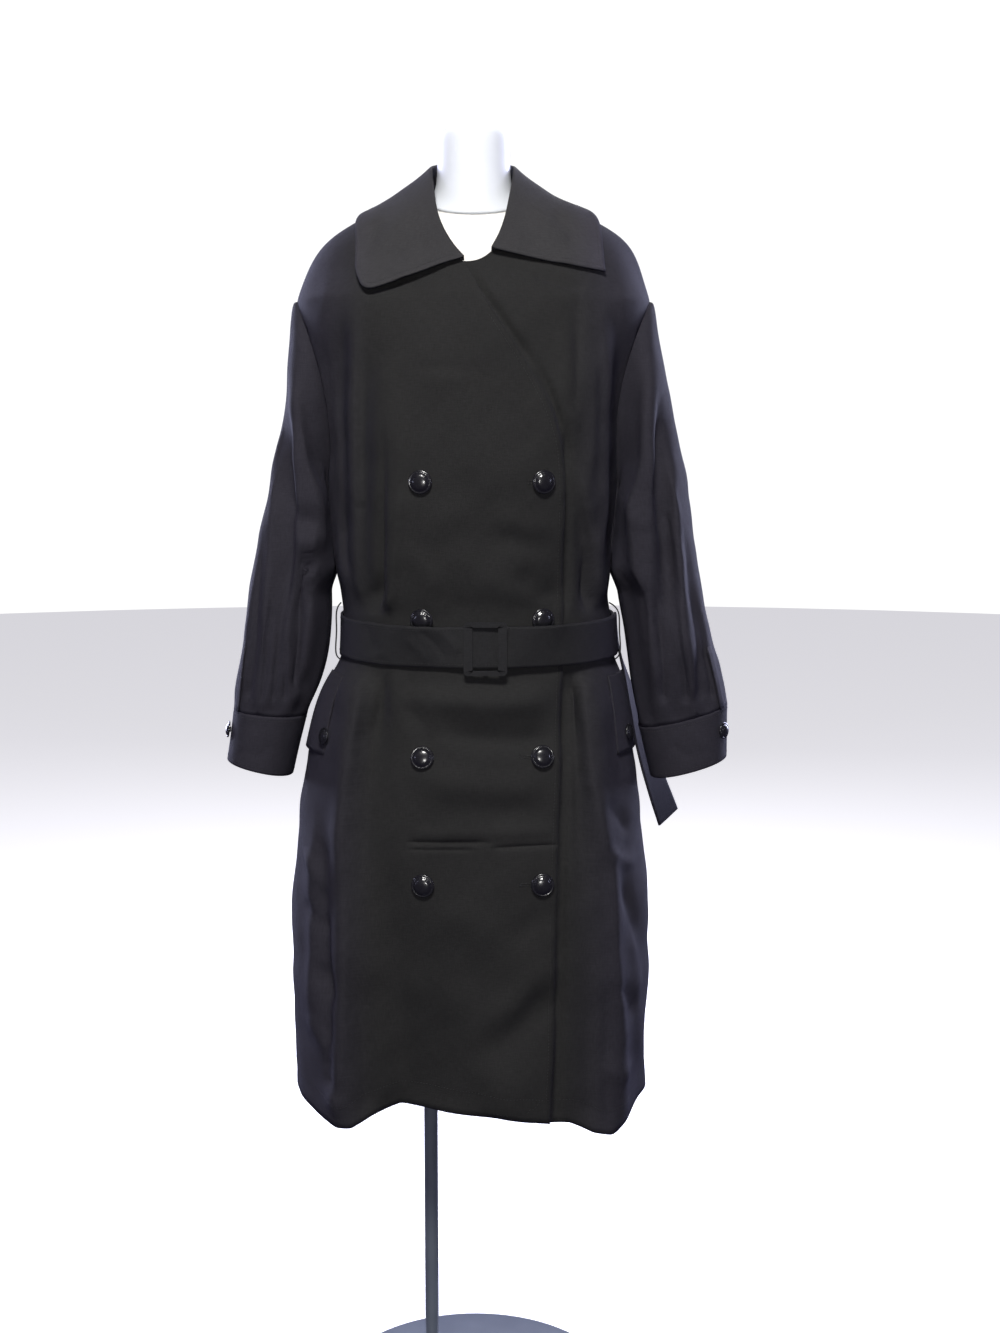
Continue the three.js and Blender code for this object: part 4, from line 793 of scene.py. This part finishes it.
cuffs = {}
for side in ("right", "left"):
    cuff = cloth_shell(f"{side}_cuff", outer_layer(f"cuff_{side}"), 3, cotton, f"cuff_{side}", CUFF_CLOTH)
    rippled(creased(cuff, CUFF_CREASES[side], always), 0.00015, always)
    weave_map(cuff, round_sleeve(side), level, SLEEVE_ROUND)
    sewn_to(sleeves[side], [cuff], 0.014, 0.012)
    cuffs[side] = cuff

# The collar: stand and fall of doubled cloth in one piece, sewn to the neckline and turned down over its roll. Its
# cotton is painted about twice as light as the coat's, as painted light, because it faces up to the lamps.
COLLAR_CLOTH = 0.0022
# The coat's cotton painted lighter, as painted light on the collar's upward face.
collar_cotton_painted_light = coat_cotton("collar_cotton_painted_light", (0.025, 0.0245, 0.0258), (0.049, 0.048, 0.05))
COLLAR_CREASES = table(
    CREASE,
    (1, -60, 1392, -98, 1330, 4, 1.8, 12, 0.3, 0.3, 0.0, 0.0),
    (1, -92, 1372, -116, 1320, -3, -1.6, 10, 0.3, 0.3, 0.0, 0.0),
    (1, -30, 1356, -92, 1322, 3, -1.6, 9, 0.3, 0.3, 0.0, 0.0),
    (1, -52, 1342, -84, 1306, 3, 1.6, 10, 0.3, 0.2, 0.0, 0.0),
    (1, 62, 1390, 104, 1338, -4, 1.8, 12, 0.3, 0.3, 0.0, 0.0),
    (1, 84, 1380, 118, 1330, 3, -1.6, 9, 0.3, 0.3, 0.0, 0.0),
    (1, 52, 1352, 100, 1318, -3, -1.8, 8, 0.3, 0.3, 0.0, 0.0),
    (-1, -60, 1410, -70, 1362, 2, 1.0, 14, 0.4, 0.3, 0.0, 0.0),
    (-1, 40, 1414, 52, 1360, 2, -1.0, 14, 0.4, 0.3, 0.0, 0.0),
)


def collar_calm(points):
    return 0.35 + 0.65 * ease((np.hypot(points[:, 0], points[:, 1]) - 0.07) / 0.03)


collar = cloth_shell(
    "collar_fall", outer_layer("collar", 44, lambda at: Vector((at.x, at.y, 0.05)).normalized()),
    3, collar_cotton_painted_light, "collar", COLLAR_CLOTH)
rippled(creased(collar, COLLAR_CREASES, collar_calm), 0.0003, collar_calm)
points, ways = read(collar)
standing = 0.0045 * (1 - ease((points[:, 2] - 1.285) / 0.06)) * (points[:, 1] < 0)
write(collar, points + standing[:, None] * np.array([0, -0.9, 0.25]))
weave_map(collar, on_body, level)

# The pocket welts: a strip of doubled cloth over each pocket's mouth, sewn to the fronts.
for side in ("right", "left"):
    welt = piece_of(f"{side}_pocket_welt", held(in_quads(merged(f"welt_{side}")), 50), cotton, f"welt_{side}", 180)
    weave_map(finer(welt, 3), on_body, level)

# The belt: a long strip of doubled cloth round the waist, through a loop of thread at each side seam.
# Its free end leaves the buckle, lies on the belt and hangs down behind the left sleeve.
BELT_CLOTH = 0.0024
belt_cotton = coat_cotton("belt_cotton", (0.013, 0.013, 0.0139), (0.026, 0.026, 0.0272))
BELT_CREASES = table(
    CREASE,
    (1, -56, 938, -24, 904, 3, -1.6, 4, 0.2, 0.2, 0.3, 0.0),
    (1, -40, 942, -10, 912, 2, 1.5, 5, 0.2, 0.2, 0.0, 0.0),
    (1, -70, 930, -44, 902, 2, 1.2, 5, 0.2, 0.2, 0.0, 0.0),
    (1, -84, 942, -96, 902, 2, 1.2, 8, 0.2, 0.2, 0.0, 0.0),
    (1, -116, 944, -104, 906, 2, -1.2, 7, 0.2, 0.2, 0.2, 0.0),
    (-1, -60, 944, -50, 904, 2, 0.9, 8, 0.2, 0.2, 0.0, 0.0),
    (-1, 30, 944, 44, 904, -2, -0.9, 8, 0.2, 0.2, 0.0, 0.0),
    (-1, 96, 944, 84, 904, 2, 0.9, 8, 0.2, 0.2, 0.0, 0.0),
)
END_CREASES = table(
    CREASE,
    (1, 60, 940, 66, 902, 2, 0.7, 7, 0.2, 0.2, 0.0, 0.0),
    (1, 98, 944, 92, 906, 2, -0.7, 7, 0.2, 0.2, 0.2, 0.0),
)
belt = cloth_shell("belt_band", outer_layer("belt"), 3, belt_cotton, "belt", BELT_CLOTH)
rippled(creased(belt, BELT_CREASES, always), 0.00016, always)
weave_map(belt, on_body, level, 2 * math.pi * 0.165)
belt_end = cloth_shell("belt_free_end", outer_layer("belt_end", 50, outward["body"]), 3, belt_cotton,
                       "belt_end", BELT_CLOTH)
BUCKLE_EDGE, END_START, END_FIXED = 0.0385, 0.0585, 0.082
points, _ = read(belt_end)
front_part = (points[:, 1] < -0.09) & (points[:, 0] < END_FIXED)
belt_face = BVHTree.FromPolygons([v.co for v in belt.data.vertices], [p.vertices for p in belt.data.polygons])


def belt_depth(x, z):
    return belt_face.ray_cast(Vector((x, -0.3, z)), Vector((0, 1, 0)))[0].y


for i in np.flatnonzero(front_part):
    x, y, z = points[i]
    nearer = END_FIXED - (END_FIXED - x) * (END_FIXED - BUCKLE_EDGE) / (END_FIXED - END_START)
    low = min(max(z, 0.9), 0.938)
    points[i] = (nearer, y + belt_depth(nearer, low) - belt_depth(x, low), z)
write(belt_end, points)
rippled(creased(belt_end, END_CREASES, always), 0.00016, always)
weave_map(belt_end, on_body, level)


def twisted_thread():
    finish = Finish("twisted_thread", Roughness=0.7)
    place = finish.place()
    x, y, z = finish.along(place)
    twist = (z * 5200 + x * 3100 + y * 3100).sine()
    return finish.feed(
        Base_Color=finish.shade((0.007, 0.007, 0.0075), (0.02, 0.02, 0.021), twist * 0.5 + 0.5),
        Normal=finish.bumps(twist, 0.0002),
    )


thread = twisted_thread()
for side in ("right", "left"):
    loop = piece_of(f"{side}_belt_loop", held(in_quads(merged(f"belt_loop_{side}")), 62), thread,
                    f"belt_loop_{side}", 80)
    finer(loop, 1)

# The buckle: a stiff frame covered with the belt's cloth, with its bar behind the belt.
buckle_low, buckle_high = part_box("buckle")
BUCKLE = {"width": 0.046, "height": 0.057, "side": 0.0095, "rail": 0.0055, "corner": 0.0048}
buckle_middle = (buckle_low + buckle_high) / 2
buckle = bmesh.new()
bmesh.ops.create_grid(buckle, x_segments=1, y_segments=1, size=0.5,
                      matrix=Matrix.Diagonal((BUCKLE["width"], BUCKLE["height"], 1, 1)))
bmesh.ops.bevel(buckle, geom=buckle.verts[:], offset=BUCKLE["corner"], offset_type="OFFSET", segments=6,
                profile=0.5, affect="VERTICES", material=-1)
window = bmesh.ops.inset_region(buckle, faces=buckle.faces[:], thickness=BUCKLE["rail"], depth=0,
                                use_even_offset=True, use_boundary=True)
inner = [f for f in buckle.faces if f not in window["faces"]]
narrower = (BUCKLE["width"] - 2 * BUCKLE["side"]) / (BUCKLE["width"] - 2 * BUCKLE["rail"])
bmesh.ops.scale(buckle, vec=(narrower, 1, 1), verts=inner[0].verts[:])
bmesh.ops.delete(buckle, geom=inner, context="FACES_ONLY")
raised = bmesh.ops.extrude_face_region(buckle, geom=buckle.faces[:])
bmesh.ops.translate(buckle, vec=(0, 0, 0.0034), verts=[v for v in raised["geom"] if isinstance(v, bmesh.types.BMVert)])
bmesh.ops.recalc_face_normals(buckle, faces=buckle.faces)
eased(buckle, 0.00125, 4, 60)
bmesh.ops.transform(buckle, verts=buckle.verts, matrix=Matrix.Translation(
    (buckle_middle.x, buckle_low.y + 0.0034, buckle_middle.z)) @ Matrix.Rotation(math.pi / 2, 4, "X"))
bar = bmesh.ops.create_cube(buckle, size=1, matrix=Matrix.Translation(
    (buckle_middle.x, buckle_high.y - 0.0009, buckle_middle.z)) @ Matrix.Diagonal((0.005, 0.0016, 0.055, 1)))
for end in (-1, 1):
    bmesh.ops.create_cube(buckle, size=1, matrix=Matrix.Translation(
        (buckle_middle.x, (buckle_high.y + buckle_low.y) / 2 + 0.0008, buckle_middle.z + end * 0.0257))
        @ Matrix.Diagonal((0.005, 0.006, 0.0034, 1)))
buckle_piece = piece_of("belt_buckle", buckle, belt_cotton, "buckle", 60)
buckle_piece.modifiers.new("even_shading", "WEIGHTED_NORMAL").keep_sharp = True
weave_map(buckle_piece, lambda points: points[:, 0] + points[:, 1], level)

# The buttons: domed black buttons on shanks, polished, with a rolled rim, a groove and a fluted ring.
# Eight close the fronts, one holds each pocket's welt and one each cuff.


def polished_black():
    finish = Finish("polished_black", Coat_Weight=0.35, Coat_Roughness=0.08, Specular_IOR_Level=0.4)
    place = finish.place()
    haze = finish.noise(place, 160, 4)
    scuff = finish.noise(finish.stretched(place, (900, 900, 300)), 1, 5).between(0.6, 0.8)
    return finish.feed(
        Base_Color=finish.shade((0.005, 0.005, 0.006), (0.012, 0.012, 0.014), haze),
        Roughness=0.22 + 0.08 * haze + 0.1 * scuff,
        Normal=finish.bumps(haze, 0.00008),
    )


polish = polished_black()
FLUTES = 16


def surface(*pieces):
    """What the trims are seated on: the nearest point of these pieces, and the way out there."""
    trees = []
    for piece in pieces:
        mesh = piece.data
        trees.append(BVHTree.FromPolygons([v.co for v in mesh.vertices], [p.vertices for p in mesh.polygons]))

    def nearest(place):
        found = [tree.find_nearest(place) for tree in trees]
        return min(found, key=lambda hit: hit[3])[:2]
    return nearest


def button(node, radius, dome, seat):
    low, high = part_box(node)
    place, way = seat((low + high) / 2)
    rim, base = radius, 0.0016
    shape = [
        (0, 0.0004), (0.003, 0.0004), (0.003, base), (rim - 0.0008, base + 0.0002), (rim, base + 0.0012),
        (rim - 0.0004, base + 0.0022), (rim - 0.0014, base + 0.0028), (rim - 0.0021, base + 0.0024),
        (rim - 0.0027, base + 0.0027), (rim * 0.62, base + 0.78 * dome), (rim * 0.56, base + 0.8 * dome),
        (rim * 0.52, base + 0.86 * dome), (rim * 0.3, base + 0.96 * dome), (0, base + dome),
    ]
    bm = turned(shape, 64)
    for vert in bm.verts:
        away = math.hypot(vert.co.x, vert.co.y)
        ring = max(0, 1 - abs(away - rim * 0.7) / (rim * 0.14))
        vert.co.z -= 0.00035 * ring * (1 - math.cos(FLUTES * math.atan2(vert.co.y, vert.co.x)))
    held(bm, 70)
    bmesh.ops.transform(bm, verts=bm.verts,
                        matrix=Matrix.Translation(place) @ way.to_track_quat("Z", "Y").to_matrix().to_4x4())
    return finer(piece_of(f"{node}_domed", bm, polish, node, 60), 1)


fronts = surface(front_right, front_left)
for column in ("right", "left"):
    for row in range(1, 5):
        button(f"button_{column}_{row}", 0.0128, 0.006, fronts)
    welts = surface(bpy.data.objects[f"{column}_pocket_welt"])
    button(f"pocket_button_{column}", 0.0096, 0.0048, welts)
    button(f"cuff_button_{column}", 0.0096, 0.0048, surface(cuffs[column]))

# The topstitching and the buttonholes: black polyester thread, one row inside each edge of the fronts,
# collar, cuffs and belt and round the hem; buttonholes are worked beside the buttons of the overlap.
STITCH = {"pitch": 0.0036, "length": 0.0013, "thick": 0.00024}


def border(piece):
    """The places on a piece's open edges."""
    bm = bmesh.new()
    bm.from_mesh(piece.data)
    bm.normal_update()
    found = [(v.co.copy(), v.normal.copy()) for v in bm.verts if v.is_boundary]
    bm.free()
    return found


def inside_edge(piece, where, order, inset):
    """A line on a piece, at a distance inside the part of its edge that where picks."""
    edge = sorted([pair for pair in border(piece) if where(pair[0])], key=lambda pair: order(pair[0]))
    seat = surface(piece)
    line = []
    for i, (at, way) in enumerate(edge):
        on = edge[min(i + 2, len(edge) - 1)][0] - edge[max(i - 2, 0)][0]
        across = way.cross(on).normalized() * inset
        spots = [seat(at + across), seat(at - across)]
        line.append(max(spots, key=lambda spot: (spot[0] - at).length))
    return line


def sewn(name, lines, pitch=STITCH["pitch"], length=STITCH["length"], crosswise=False):
    """Lays stitches at an even pitch along lines of places and ways out."""
    bm = bmesh.new()
    for line in lines:
        gone = 0.0
        for (a, way), (b, _) in zip(line, line[1:]):
            span = (b - a).length
            if span < 1e-7 or span > 0.02:
                continue
            on = (b - a) / span
            across = way.cross(on).normalized()
            turn = Matrix((across, on, way) if crosswise else (on, across, way)).transposed().to_4x4()
            shape = Matrix.Diagonal((length, STITCH["thick"], STITCH["thick"], 1))
            while gone < span:
                spot = a + on * gone + way * 0.00012
                bmesh.ops.create_icosphere(bm, subdivisions=1, radius=1,
                                           matrix=Matrix.Translation(spot) @ turn @ shape)
                gone += pitch
            gone -= span
    return piece_of(name, bm, thread, None, 180)


def by_height(at):
    return at.z


def by_turn(at):
    return math.atan2(at.x, -at.y)


sewn("front_edge_stitches", [inside_edge(
    front_right, lambda at: at.x > 0.02 and 0.405 < at.z < 1.27 and at.y < -0.05, by_height, 0.006)])
for name, panel, reach in (("right_front", front_right, 0), ("left_front", front_left, 0), ("back_panel", back, math.pi)):
    sewn(f"{name}_hem_stitches", [inside_edge(
        panel, lambda at: at.z < 0.418, lambda at: (by_turn(at) + reach) % (2 * math.pi) if reach else by_turn(at),
        0.026)])
sewn("collar_stitches", [inside_edge(
    collar, lambda at: math.hypot(at.x, at.y) > 0.098 and at.z < 1.39,
    lambda at: math.atan2(at.x, at.y + 0.02), 0.006)])
for side in ("right", "left"):
    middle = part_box(f"cuff_{side}")
    axis = (middle[0] + middle[1]) / 2
    rings = []
    for upper in (True, False):
        rings.append(inside_edge(
            cuffs[side],
            lambda at: (at.z > axis.z + 0.02 - 0.1 * abs(at.x - axis.x)) == upper,
            lambda at: math.atan2(at.y - axis.y, at.x - axis.x), 0.005))
    sewn(f"{side}_cuff_stitches", rings)
sewn("belt_stitches", [inside_edge(belt, lambda at, up=up: (at.z > BELT_MIDDLE) == up, by_turn, 0.004)
                       for up in (True, False)])


def buttonhole(node):
    """A worked slit from the button's shank towards the middle of the front."""
    low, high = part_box(node)
    middle = (low + high) / 2
    ring = []
    for i in range(57):
        turn = 2 * math.pi * i / 56
        reach = math.copysign(abs(math.cos(turn)) ** 0.4, math.cos(turn))
        ring.append(fronts(middle + Vector((-0.0115 + 0.0135 * reach, 0, 0.0014 * math.sin(turn)))))
    return ring


sewn("buttonholes", [buttonhole(f"button_left_{row}") for row in range(1, 5)], 0.0005, 0.0011, True)

# The studio: a plain pale floor, white all round, a soft light above the camera and one beside it, and
# weaker ones at both sides, behind the shoulders and behind the coat.
floor = bpy.data.objects.new("studio_floor", bpy.data.meshes.new("studio_floor"))
ground = bmesh.new()
bmesh.ops.create_circle(ground, cap_ends=True, radius=9, segments=96, matrix=Matrix.Translation((0, 0, -0.0006)))
ground.to_mesh(floor.data)
ground.free()
bpy.context.scene.collection.objects.link(floor)
pale = Finish("studio_white", Roughness=0.9, Base_Color=(0.93, 0.93, 0.93, 1), Emission_Strength=0.6,
              Emission_Color=(1, 1, 1, 1))
floor.data.materials.append(pale.material)
floor.visible_diffuse = floor.visible_glossy = False

world = bpy.data.worlds.new("studio")
bpy.context.scene.world = world
world.use_nodes = True
sky = world.node_tree
seen = sky.nodes.new("ShaderNodeLightPath")
glow = sky.nodes["Background"]
tint = sky.nodes.new("ShaderNodeMix")
tint.data_type = "RGBA"
tint.inputs[6].default_value = (0.62, 0.54, 1, 1)
tint.inputs[7].default_value = (1, 1, 1, 1)
sky.links.new(seen.outputs["Is Camera Ray"], tint.inputs[0])
sky.links.new(tint.outputs[2], glow.inputs["Color"])
strength = sky.nodes.new("ShaderNodeMix")
strength.inputs[2].default_value = 0.1
strength.inputs[3].default_value = 1.05
sky.links.new(seen.outputs["Is Camera Ray"], strength.inputs[0])
sky.links.new(strength.outputs[0], glow.inputs["Strength"])


def soft_light(name, place, aim, size, watts, colour=(1, 1, 1)):
    light = bpy.data.lights.new(name, "AREA")
    light.shape = "RECTANGLE"
    light.size, light.size_y = size
    light.energy = watts
    light.color = colour
    lamp = bpy.data.objects.new(name, light)
    lamp.location = place
    lamp.rotation_euler = (Vector(aim) - Vector(place)).to_track_quat("-Z", "Y").to_euler()
    bpy.context.scene.collection.objects.link(lamp)


WARM = (1, 0.985, 0.96)
COOL = (0.7, 0.72, 1.0)
soft_light("key_light", (-0.1, -2.0, 3.2), (0, 0, 1.0), (0.7, 0.5), 98, WARM)
soft_light("front_light", (0.0, -3.2, 1.2), (0, 0, 0.95), (0.5, 0.5), 32, WARM)
soft_light("side_light_right", (-2.2, -1.0, 1.3), (-0.1, 0, 0.95), (0.16, 0.3), 4.5, COOL)
soft_light("side_light_left", (2.2, -1.0, 1.3), (0.1, 0, 0.95), (0.16, 0.3), 4.5, COOL)
soft_light("shoulder_light_right", (-1.5, 1.5, 1.5), (-0.1, 0, 0.95), (0.6, 1.9), 80, COOL)
soft_light("shoulder_light_left", (1.5, 1.5, 1.5), (0.1, 0, 0.95), (0.6, 1.9), 80, COOL)
soft_light("back_light", (0.2, 2.6, 2.6), (0, 0, 1.0), (0.9, 0.9), 26)

camera = bpy.data.objects.new("camera", bpy.data.cameras.new("camera"))
camera.data.lens = 47.0
camera.data.sensor_width = 36
camera.location = (0.0315, -1.950, 1.158)
camera.rotation_euler = (math.radians(81.93), 0, 0)
bpy.context.scene.collection.objects.link(camera)
bpy.context.scene.camera = camera
bpy.context.scene.view_settings.view_transform = "Standard"
